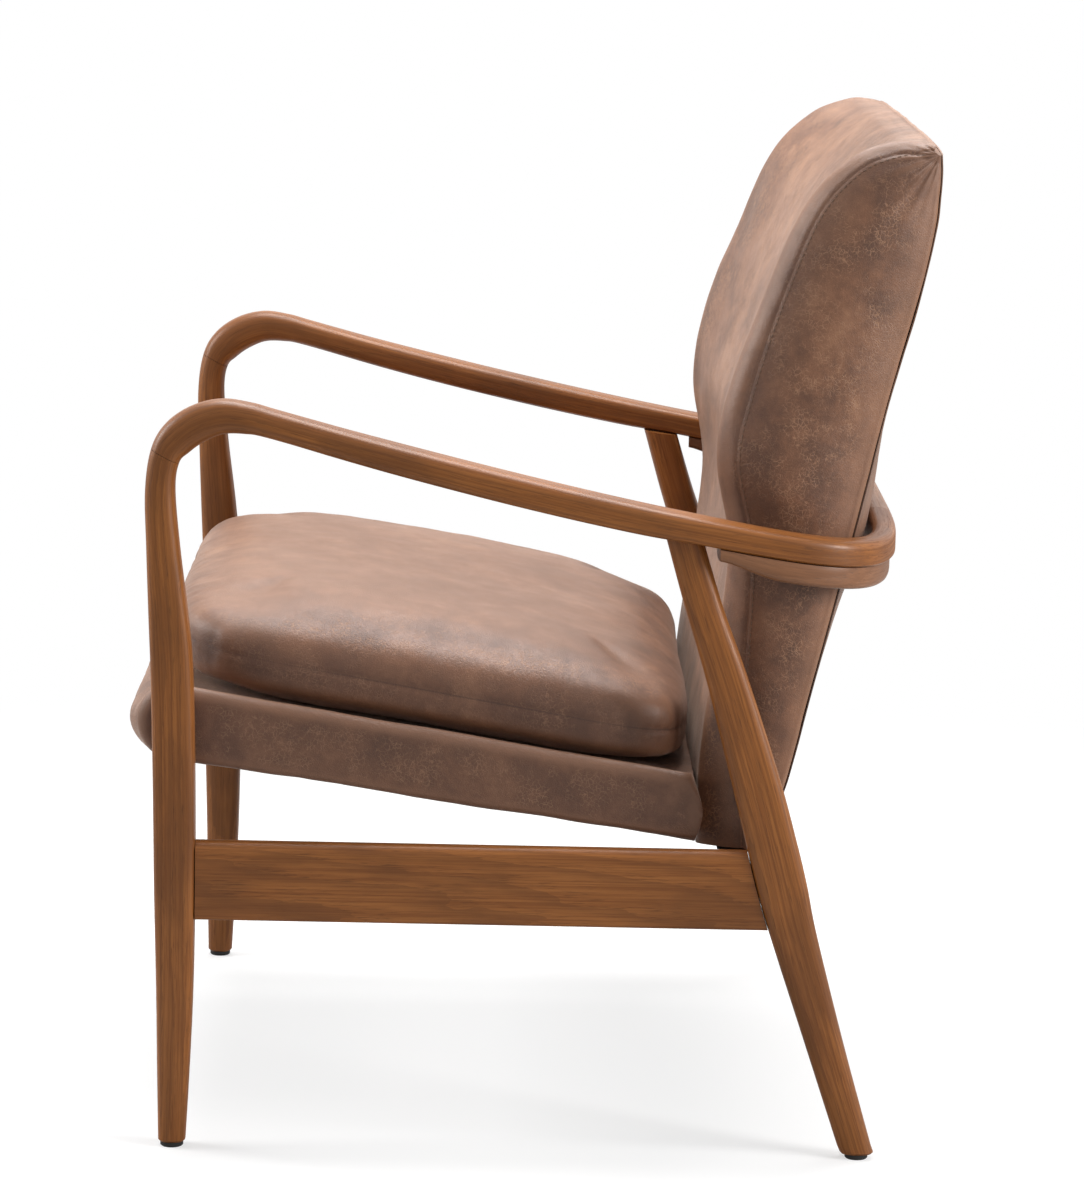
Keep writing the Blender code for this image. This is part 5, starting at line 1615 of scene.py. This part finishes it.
    def pucker(self, piece: Piece, seam: Array) -> None:
        """Draws the seam in, gathers the leather along it and ripples the front of the top panel.

        Args:
            piece: The cushion.
            seam: Points of its seam.
        """
        mesh = piece.data
        points, normals = read_points(mesh), read_points(mesh, "normal")
        distance, run = from_seam(seam, points)
        around = np.stack([run, distance * 0.35, np.zeros(len(run))], 1)
        corner = np.abs(points[:, 0]) / self.half_width * np.abs(points[:, 1] - self.middle_y) / self.half_depth
        tight = 0.3 + 2.8 * np.clip(corner - 0.55, 0, 1)
        shift = -sum(deep * bell(distance, width) for deep, width in self.seam_grooves)
        shift += (tight * waves_at(self.seam_gathers, around)
                  * np.exp(-distance / 0.014) * (1 - np.exp(-distance / 0.002)))
        front = np.clip((self.front_y + 0.085 - points[:, 1]) / 0.07, 0, 1)
        lines = np.stack([points[:, 0], points[:, 1] * 0.12, points[:, 2] * 0.12], 1)
        shift += front * self.front_gathers.at(lines) * np.exp(-distance / 0.06)
        shift += waves_at(self.skin_waves, points)
        for side in Side:
            for y, rise, deep, radius in self.tucks:
                place = np.array([side.value * (self.half_width - self.tuck_inset), y, PLAN.deck_height(y) + rise])
                shift += self.tuck(points - place, deep, radius)
        write_points(mesh, points + normals * shift[:, None])
        # Painted shade: the seam distance also darkens a band round the cushion's side
        write_value(mesh, "seam", distance)


# Front face and rear face of the back, bottom to top, as shares of its reach and height
BACK_FRONT_SHARES = (
    (0.000, 0.007), (0.000, 0.078), (0.002, 0.139), (0.110, 0.404), (0.046, 0.550), (0.097, 0.651),
    (0.226, 0.777), (0.404, 0.909), (0.605, 0.976), (0.790, 0.999), (0.900, 0.999), (0.972, 0.992),
)
BACK_REAR_SHARES = (
    (0.303, 0.000), (0.372, 0.078), (0.424, 0.139), (0.610, 0.392), (0.728, 0.550), (0.805, 0.651),
    (0.915, 0.777), (0.979, 0.873), (0.995, 0.922), (1.000, 0.952), (0.998, 0.969), (0.996, 0.980),
)
# Fullness of the side gusset, depth of the hollow between the wings, and how far the front follows the rear's bow
BACK_SIDE_SHARES = (*(5 * (1.0,)), 0.96, 0.90, 0.80, 0.62, 0.45, 0.30, 0.15)
BACK_HOLLOW_SHARES = (0.0, 0.0, 0.0, 0.35, 0.80, 1.0, 1.0, 1.0, 0.85, 0.45, 0.20, 0.05)
BACK_FOLLOW_SHARES = (*(8 * (0.0,)), 0.2, 0.5, 0.8, 1.0)
# Depth in millimetres from the front face to the seam
BACK_ROLL_MM = (38.0, 36.0, 31.0, 18.0, 16.0, 16.0, 15.0, 14.0, 12.5, 11.5, 11.0, 11.0)


@dataclass
class UpholsteredBack:
    """The back: a front cover over both wings, a gusset on each side and a flat outside panel."""

    leathers: dict[str, Finish]
    thread: Finish
    bottom: float = 0.248
    height: float = 0.5890
    foot_y: float = 0.1394
    reach: float = 0.1832
    half_width: float = 0.292
    top_half_width: float = 0.284
    roll_width: float = 0.021
    roll_depth_shares: tuple[float, float] = (0.68, 0.42)
    side_fullness: float = 0.0125
    rear_roll: float = 0.005
    hollow: float = 0.031
    hollow_power: float = 2.7
    bow_clearance: float = 0.0012
    end_bulge: float = 0.0058
    steps: int = 9
    face_columns: int = 44
    roll_columns: int = 9
    gusset_columns: int = 24
    edge_columns: int = 5
    rear_columns: int = 26
    panel_columns: int = 61
    stitching: Stitching = Stitching(pitch=0.0050, length=0.0036, radius=0.00045)
    stitch_offset: float = 0.0034
    padding: Padding = Padding(pressure=2.5, cap=0.0015)
    seam_groove: tuple[float, float] = (0.0004, 0.0013)
    seam_gathers: Wave = Wave(0.0004, 0.012, 4.2)
    corner_folds: Wave = Wave(0.0016, 0.010, 7.7)
    skin_waves: tuple[Wave, ...] = (Wave(0.0008, 0.060, 9.2), Wave(0.0003, 0.022, 2.2))
    panel_waves: tuple[Wave, ...] = (Wave(0.0006, 0.075, 5.5), Wave(0.00024, 0.025, 1.1))
    wear_radius: float = 0.020
    # Painted highlights on the rolls and on the gussets' rear edges
    roll_highlight: float = 0.85
    rear_edge_highlight: float = 0.7
    front: Array = field(init=False)
    rear: Array = field(init=False)
    traits: Array = field(init=False)
    bow_bulge: float = field(init=False)

    def __post_init__(self) -> None:
        """Works out the two faces of the back as smooth paths, and what follows from them."""
        self.front, self.rear = (
            spline([(self.foot_y + reach * self.reach, self.bottom + height * self.height)
                    for reach, height in shares], self.steps)
            for shares in (BACK_FRONT_SHARES, BACK_REAR_SHARES))
        self.traits = spline(list(zip(BACK_SIDE_SHARES, BACK_HOLLOW_SHARES, BACK_FOLLOW_SHARES,
                                      BACK_ROLL_MM)), self.steps)
        self.bow_bulge = (PLAN.bow_centre_y + PLAN.bow_inner_reach - self.bow_clearance - PLAN.leather
                          - PLAN.gap - float(np.interp(self.bow_height, self.rear[:, 1], self.rear[:, 0])))

    @property
    def bow_height(self) -> float:
        """Height of the middle of the bow behind the back."""
        return PLAN.bow_top_height - 0.5 * PLAN.bow_thickness

    @staticmethod
    def inward(path: Array, way: int) -> Array:
        """Finds the inward directions of an upward path.

        Args:
            path: Rows of y and z.
            way: 1 towards +Y and -1 towards -Y.

        Returns:
            One direction a row.
        """
        run = np.gradient(path, axis=0)
        run /= np.linalg.norm(run, axis=1, keepdims=True)
        return np.stack([run[:, 1], -run[:, 0]], 1) * way

    def share_at(self, i: int) -> float:
        """0 at the bottom of the back and 1 at its top."""
        return (self.front[i][1] - self.bottom) / self.height

    def half_at(self, i: int) -> float:
        """Half the width at the seam, which narrows towards the top."""
        return mix(self.half_width, self.top_half_width, ease((self.share_at(i) - 0.5) * 2))

    def thickness_at(self, i: int) -> float:
        """Distance between the two faces."""
        return float(np.linalg.norm(self.front[i] - self.rear[i]))

    def bulge(self, z: float, x: float) -> float:
        """Measures how far the rear face bows out, fullest behind the bow.

        Args:
            z: Height.
            x: Place across the chair.

        Returns:
            The distance along +Y.
        """
        ends = self.bottom + self.height if z > self.bow_height else self.bottom
        fullness = mix(self.bow_bulge, self.end_bulge, ease(2 * (z - self.bow_height) / (ends - self.bow_height)))
        return fullness * (1 - min(1.0, abs(x) / self.half_width) ** 3)

    def roll_at(self, i: int) -> tuple[float, float]:
        """Measures the roll from the front face to the seam.

        Args:
            i: Number of the station.

        Returns:
            Its depth and its width.
        """
        most = mix(*self.roll_depth_shares, ease(2 * self.share_at(i))) * self.thickness_at(i)
        deep = min(self.traits[i][3] * MM, most)
        return deep, min(self.roll_width, 1.25 * deep)

    def front_point(self, i: int, x: float, inset: float, normals: Array) -> Vector:
        """Sets a point of the front face, hollowed between the wings, or turned in at the roll.

        Args:
            i: Number of the station.
            x: Place across the chair.
            inset: How far the roll has turned in.
            normals: Inward directions of the front face.

        Returns:
            The point.
        """
        inner = self.half_at(i) - self.roll_at(i)[1]
        hollow = self.hollow * self.traits[i][1] * max(0.0, 1 - (abs(x) / inner) ** self.hollow_power)
        y, z = self.front[i] + normals[i] * (inset + hollow)
        return Vector((x, y + self.traits[i][2] * self.bulge(z, x), z))

    def half_ring(self, i: int, fronts: Array, rears: Array) -> tuple[Ring, int]:
        """Sets one half of a ring: the front from its middle, the roll, the gusset and the rear.

        Args:
            i: Number of the station, from the bottom.
            fronts: Inward directions of the front face.
            rears: Inward directions of the rear face.

        Returns:
            The points, and which of them is on the seam.
        """
        half, corner = self.half_at(i), min(self.rear_roll, 0.2 * self.thickness_at(i))
        roll, wide = self.roll_at(i)
        start = self.front[i] + fronts[i] * roll
        end = self.rear[i] + rears[i] * corner
        length = float(np.linalg.norm(end - start))
        fullness = length * min(self.side_fullness * self.traits[i][0] / length, 0.14, 0.11 * wide / roll)

        # The roll turns just as far as the gusset leans out behind it
        bend = 4 * fullness / length * roll / wide
        turn = math.acos(min(0.95, bend / (1 - bend)))
        points = [self.front_point(i, (half - wide) * share, 0.0, fronts)
                  for share in np.linspace(0, 0.97, self.face_columns)]
        for angle in turn * np.linspace(0.0, 1.0, self.roll_columns):
            points.append(self.front_point(i, half - wide + wide * math.sin(angle) / math.sin(turn),
                                           roll * (1 - math.cos(angle)) / (1 - math.cos(turn)), fronts))
        seam = len(points) - 1
        for share in (0.012, 0.03, *np.linspace(0.07, 0.97, self.gusset_columns - 2)):
            y, z = mix(start, end, share)
            points.append(Vector((half + fullness * 4 * share * (1 - share), y, z)))
        for angle in QUARTER_TURN * np.linspace(0.0, 1.0, self.edge_columns):
            x = half - corner + corner * math.cos(angle)
            y, z = self.rear[i] + rears[i] * corner * (1 - math.sin(angle))
            points.append(Vector((x, y + self.bulge(z, x), z)))
        y, z = self.rear[i]
        for x in (half - corner) * np.linspace(0.97, 0.0, self.rear_columns):
            points.append(Vector((x, y + self.bulge(z, x), z)))
        return points, seam

    def build_cover(self) -> tuple[Piece, list[Array]]:
        """Builds the front cover and both gussets over their padding, as one sewn skin.

        Returns:
            The piece, and the line of each seam.
        """
        fronts, rears = self.inward(self.front, 1), self.inward(self.rear, -1)
        rings, seam = [], 0
        for i in range(len(self.front)):
            points, seam = self.half_ring(i, fronts, rears)
            rings.append(points + [Vector((-p.x, p.y, p.z)) for p in points[1:-1]][::-1])
        form = Form("back_leather")
        form.loft(rings, capped=False)
        piece = form.finish(self.leathers["back"], 70.0)
        table = np.array([[corner.index for corner in row] for row in form.rows])
        count = table.shape[1]
        rear_from = seam + self.gusset_columns

        # Held while the padding presses: both seams, the flat rear and both ends
        held = {int(j) for column in (seam, count - seam) for near in (-1, 0, 1, 2)
                for j in table[:, (column + near) % count]}
        held |= {int(j) for j in table[:, rear_from:count - rear_from + 1].ravel()}
        held |= {int(j) for row in (0, 1, 2, -1, -2, -3) for j in table[row]}
        self.padding.fill(piece, sorted(held))
        points = read_points(piece.data)
        lines = [points[table[:, column]] for column in (seam, count - seam)]
        columns = np.zeros(len(points))
        columns[table] = np.arange(count)[None, :]
        write_value(piece.data, "column", columns)
        piece.data.materials.append(self.leathers["gusset"])
        for face in piece.data.polygons:
            numbers = columns[list(face.vertices)]
            low, high = numbers.min(), numbers.max()
            face.material_index = int(low >= seam and high <= rear_from + 8
                                      or low >= count - rear_from - 8 and high <= count - seam)
        subdivide(piece)
        close_ends(piece)
        self.settle(piece, lines)
        mark_wear(piece, self.wear_radius)
        self.highlight_edges(piece, seam, count)
        dress(piece, Body.FRAME, Slot.LEATHER, "back_front_cover", "back_gusset_left", "back_gusset_right",
              "back_foam")
        return piece, lines

    def highlight_edges(self, piece: Piece, seam: int, count: int) -> None:
        """Paints a highlight on the rolls in front of the seams and on the rear edges of the gussets, where the
        light catches them.

        Args:
            piece: The cover.
            seam: Column of the seam on one side.
            count: Number of columns all round.
        """
        mesh = piece.data
        column, distance = read_value(mesh, "column"), read_value(mesh, "seam")
        past = np.minimum(column, count - column) - seam
        roll = bell(distance - 12 * MM, 8 * MM) * (past <= 0)
        rear = np.clip((past - 12) / 12, 0, 1) ** 2 * (past <= 25)
        wear_and_highlight = np.maximum(read_value(mesh, "wear_and_highlight"), np.maximum(self.roll_highlight * roll, self.rear_edge_highlight * rear))
        write_value(mesh, "wear_and_highlight", spread(wear_and_highlight, edge_ends(mesh), 4))
        # The painted shade beside the seams starts 12 mm further off on the front
        write_value(mesh, "seam", np.where(past < -0.5, distance + 12 * MM, distance))

    def settle(self, piece: Piece, lines: list[Array]) -> None:
        """Draws the seams in, gathers the top corners of the gussets and lets the leather wave a little.

        Args:
            piece: The cover.
            lines: The line of each seam.
        """
        mesh = piece.data
        points, normals = read_points(mesh), read_points(mesh, "normal")
        (one, one_run), (other, other_run) = (from_seam(line, points) for line in lines)
        near = other < one
        distance, run = np.where(near, other, one), np.where(near, other_run, one_run)
        deep, width = self.seam_groove
        shift = -deep * bell(distance, width)
        along = np.stack([run, distance * 0.3, near * 0.5], 1)
        shift += self.seam_gathers.at(along) * np.exp(-distance / 0.010) * (1 - np.exp(-distance / 0.002))

        # Folds fan out from the corner where cover, gusset and outside panel meet
        away = points - np.array([self.top_half_width, self.rear[-1][0], self.rear[-1][1]])
        away[:, 0] = np.abs(points[:, 0]) - self.top_half_width
        far = np.linalg.norm(away, axis=1)
        fan = np.arctan2(away[:, 2], away[:, 1]) * 0.06
        rays = np.stack([fan, far * 0.05, np.sign(points[:, 0]) * 0.3], 1)
        on_side = np.clip((np.abs(points[:, 0]) - self.top_half_width + 0.012) / 0.012, 0, 1)
        shift += self.corner_folds.at(rays) * bell(far, 0.055) * on_side * np.clip(far / 0.02, 0, 1)
        shift += waves_at(self.skin_waves, points)
        rear = normals[:, 1] > 0.6
        shift[rear] = np.minimum(shift[rear], 0.0)
        moved = points + normals * shift[:, None]
        moved[:, 0] = np.clip(moved[:, 0], -PLAN.seat_half_width, PLAN.seat_half_width)
        write_points(mesh, moved)
        write_value(mesh, "seam", distance + 0.9 * MM)

    def build_panel(self) -> None:
        """Builds the outside panel on the rear, with turned edges."""
        fronts = self.inward(self.rear, -1)
        shares = np.linspace(-1.0, 1.0, self.panel_columns)
        rings = []
        for i in range(len(self.rear)):
            half = self.half_at(i) - self.rear_roll
            rows = []
            for outside in (True, False):
                y, z = self.rear[i] - fronts[i] * (2 * PLAN.gap + PLAN.leather * outside)
                turned = 0.4 * PLAN.leather * np.maximum(0.0, np.abs(shares) - 0.985) / 0.015 * outside
                rows.append([Vector((half * share, y - drop + self.bulge(z, half * share), z))
                             for share, drop in zip(shares, turned)])
            rings.append(rows[0] + rows[1][::-1])
        form = Form("back_outside_leather")
        form.loft(rings)
        piece = form.finish(self.leathers["outside"], 60.0)
        points, normals = read_points(piece.data), read_points(piece.data, "normal")
        behind = np.clip((np.abs(points[:, 2] - PLAN.bow_top_height) - 0.035) / 0.03, 0, 1)
        free = np.clip(normals[:, 1], 0, 1) * behind
        wave = waves_at(self.panel_waves, points) - 0.2 * MM
        write_points(piece.data, points + normals * (wave * free)[:, None])
        # Painted shade: the edge distance darkens the panel along its edges
        edge = (self.half_width - self.rear_roll) - np.abs(points[:, 0])
        write_value(piece.data, "seam", np.maximum(edge, 0.0) + 0.6 * MM)
        mark_wear(piece, self.wear_radius)
        dress(piece, Body.FRAME, Slot.LEATHER, "back_outside_panel")

    def build(self) -> None:
        """Builds the covers and sews the rows of stitches beside the seams."""
        cover, lines = self.build_cover()
        self.build_panel()
        for side, line in zip(Side, lines):
            row = line.copy()
            row[:, 1:] += self.inward(self.front, 1) * self.stitch_offset
            kept = row[row[:, 2] > self.bottom + 0.01][:-3]
            stitches = self.stitching.sew(f"gusset_stitches_{side.word}", cover, kept, self.thread)
            dress(stitches, Body.FRAME, Slot.LEATHER)


class HiddenWork:
    """What the leather covers: seat and back frame, webbing, dust cloths and fasteners."""

    def build(self) -> None:
        """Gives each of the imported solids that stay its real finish."""
        beech = PlainFinish("planed_beech", "b48a5e", "c79e72", 0.62, mottle_mm=(30.0, 2.0, 2.0)).build()
        webbing = WovenFinish("elastic_webbing", "1d1915", "4a4036", 2.2).build()
        cloth = WovenFinish("spunbond_dust_cloth", "0b0b0c", "1a1a1c", 1.2, 0.9, 0.35).build()
        steel = PlainFinish("zinc_plated_steel", "9c9ca0", "b4b4b8", 0.32, 1.0, bump_mm=0.01).build()
        ash = TimberFinish("ash_plug", pore_length_mm=3.0).build()
        rules = (("seat_rail", beech), ("back_post", beech), ("back_rail", beech), ("seat_webbing", webbing),
                 ("seat_dust_cover", cloth), ("back_dust_cover", cloth), ("bow_plug", ash), ("", steel))
        for name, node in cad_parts.items():
            if node.hide_render:
                continue
            material = next(made for start, made in rules if name.startswith(start))
            node.data.materials.clear()
            node.data.materials.append(material)
            LOG.info("%s: kept, in %s", name, material.name)


@dataclass(frozen=True)
class Lamp:
    """A soft square lamp that faces the chair."""

    name: str
    place: tuple[float, float, float]
    size: float
    power: float
    aim: tuple[float, float, float] = (0.0, 0.0, 0.42)

    def build(self) -> None:
        """Hangs the lamp."""
        lamp = bpy.data.lights.new(self.name, "AREA")
        lamp.shape = "SQUARE"
        lamp.size = self.size
        lamp.energy = self.power
        holder = add_object(self.name, lamp)
        holder.location = self.place
        holder.rotation_euler = (Vector(self.aim) - Vector(self.place)).to_track_quat("-Z", "Y").to_euler()


@dataclass
class Studio:
    """A pale floor, soft lamps and the camera at the photograph's viewing angle."""

    camera_place: tuple[float, float, float] = (4.1107, -0.0271, 1.1084)
    yaw: float = 0.009142747407661115
    pitch: float = 0.16909029242611073
    roll: float = 0.02134688265349667
    focal_pixels: float = 4740.35
    image_height: float = 1200.0
    sensor: float = 36.0
    world_strength: float = 0.27
    floor_radius: float = 9.0
    floor_fade: tuple[float, float] = (0.7, 1.7)
    floor_glow: float = 0.56
    lamps: tuple[Lamp, ...] = (
        Lamp("overhead_softbox", (-0.6, 0.1, 2.6), 1.8, 76.0),
        Lamp("front_softbox", (-0.1, -2.6, 1.8), 1.5, 60.0),
        Lamp("rear_softbox", (1.3, 2.5, 1.4), 1.2, 66.0),
    )

    def build_camera(self) -> None:
        """Sets the camera as the photograph was taken."""
        camera = bpy.data.cameras.new("camera")
        camera.sensor_width = self.sensor
        camera.lens = self.focal_pixels * self.sensor / self.image_height
        camera.clip_end = 60.0
        holder = add_object("camera", camera)
        ahead = Vector((-math.cos(self.yaw), math.sin(self.yaw), 0))
        right = Vector((math.sin(self.yaw), math.cos(self.yaw), 0))
        up = Vector((0, 0, 1))
        c, s = math.cos(self.pitch), math.sin(self.pitch)
        ahead, up = ahead * c - up * s, up * c + ahead * s
        c, s = math.cos(self.roll), math.sin(self.roll)
        right, up = right * c + up * s, up * c - right * s
        turn = Matrix((right, up, -ahead)).transposed().to_4x4()
        holder.matrix_world = Matrix.Translation(Vector(self.camera_place)) @ turn
        bpy.context.scene.camera = holder

    def build_world(self) -> None:
        """Lights the world evenly, seen as plain white."""
        world = bpy.data.worlds.new("studio")
        world.use_nodes = True
        bpy.context.scene.world = world
        tree = world.node_tree
        tree.nodes.clear()
        direct = add_node(tree, "LightPath", {}, "Is Camera Ray")
        path = direct.node
        for name in ("Is Glossy Ray", "Is Transmission Ray"):
            direct = add_node(tree, "Math", {0: direct, 1: path.outputs[name]}, operation="MAXIMUM")
        strength = add_node(tree, "MapRange", {0: direct, 3: self.world_strength, 4: 1.0})
        light = add_node(tree, "Background", {0: (1.0, 1.0, 1.0, 1.0), 1: strength})
        add_node(tree, "OutputWorld", {0: light})

    def build_floor(self) -> None:
        """Lays a pale floor that goes over into the white behind it and keeps the chair's shadow."""
        form = Form("studio_floor")
        bmesh.ops.create_circle(form.bm, cap_ends=True, segments=96, radius=self.floor_radius)
        r = Recipe("pale_floor")
        far = r.add("VectorMath", {0: r.add("TexCoord", {}, out="Object")}, operation="LENGTH", out="Value")
        seen = r.add("LightPath", {}, out="Is Camera Ray")
        fade = r.add("MapRange", {0: far, 1: self.floor_fade[0], 2: self.floor_fade[1]}, **r.SOFT)
        fade = r.add("Math", {0: fade, 1: seen}, operation="MULTIPLY")
        colour = r.add("Mix", {0: fade, 6: (0.5, 0.5, 0.5, 1.0), 7: (0.0, 0.0, 0.0, 1.0)}, **r.COLOUR)
        glow = r.add("MapRange", {0: fade, 3: self.floor_glow, 4: 1.0})
        glow = r.add("Math", {0: glow, 1: seen}, operation="MULTIPLY")
        r.add("OutputMaterial", {"Surface": r.add("BsdfPrincipled", {
            "Base Color": colour, "Emission Strength": glow, "Emission Color": (1.0, 1.0, 1.0, 1.0),
            "Roughness": 0.9, "Specular IOR Level": 0.0})})
        form.finish(r.material)

    def build(self) -> None:
        """Sets up floor, world, lamps and camera."""
        bpy.context.scene.view_settings.view_transform = "Standard"
        self.build_floor()
        self.build_world()
        for lamp in self.lamps:
            lamp.build()
        self.build_camera()


def main() -> None:
    """Builds the chair and the studio round it."""
    logging.basicConfig(level=logging.INFO, format="%(name)s %(message)s")
    leathers = {name: LeatherFinish(f"waxed_leather_{name}", shift).build() for name, shift in (
        ("base", (0.7, 0.2, 0.4)), ("base_side", (1.3, -0.5, 0.1)), ("back", (-0.8, 0.9, 0.3)),
        ("gusset", (0.3, -1.1, 0.8)), ("outside", (2.1, 0.4, -0.6)))}
    # The cushion's leather is a darker copy, which paints shade on its sides; its top gets the painted highlight
    leathers["cushion"] = LeatherFinish("waxed_leather_cushion", body="5c3b2a", tan="734c36").build()
    timbers = {
        "leg": TimberFinish("stained_ash_leg").build(),
        # The bow and the rail get their own less saturated browns and a whitish haze: painted sheen where the light
        # falls on them
        "bow": TimberFinish("stained_ash_bow", body="82522d", light="9f6d46", haze_share=0.14).build(),
        "board": TimberFinish("stained_ash_board", ring_mm=8.0, heart_mm=(4.0, 22.0), slant=(0.055, 0.02)).build(),
        "rail": TimberFinish("stained_ash_rail", body="734828", light="8d5d3b", haze_share=0.14).build(),
        "glide": PlainFinish("moulded_nylon_glide", "100e0c", "1d1a17", 0.5, bump_mm=0.03).build(),
    }
    thread = PlainFinish("waxed_thread", "46301f", "604530", 0.6, mottle_mm=(0.6, 0.6, 0.6)).build()
    for side in Side:
        SideFrame(side, timbers).build()
    RearBow(timbers).build()
    SeatBase(leathers).build()
    SeatCushion(leathers).build()
    UpholsteredBack(leathers, thread).build()
    HiddenWork().build()
    Studio().build()


if __name__ == "__main__":
    main()
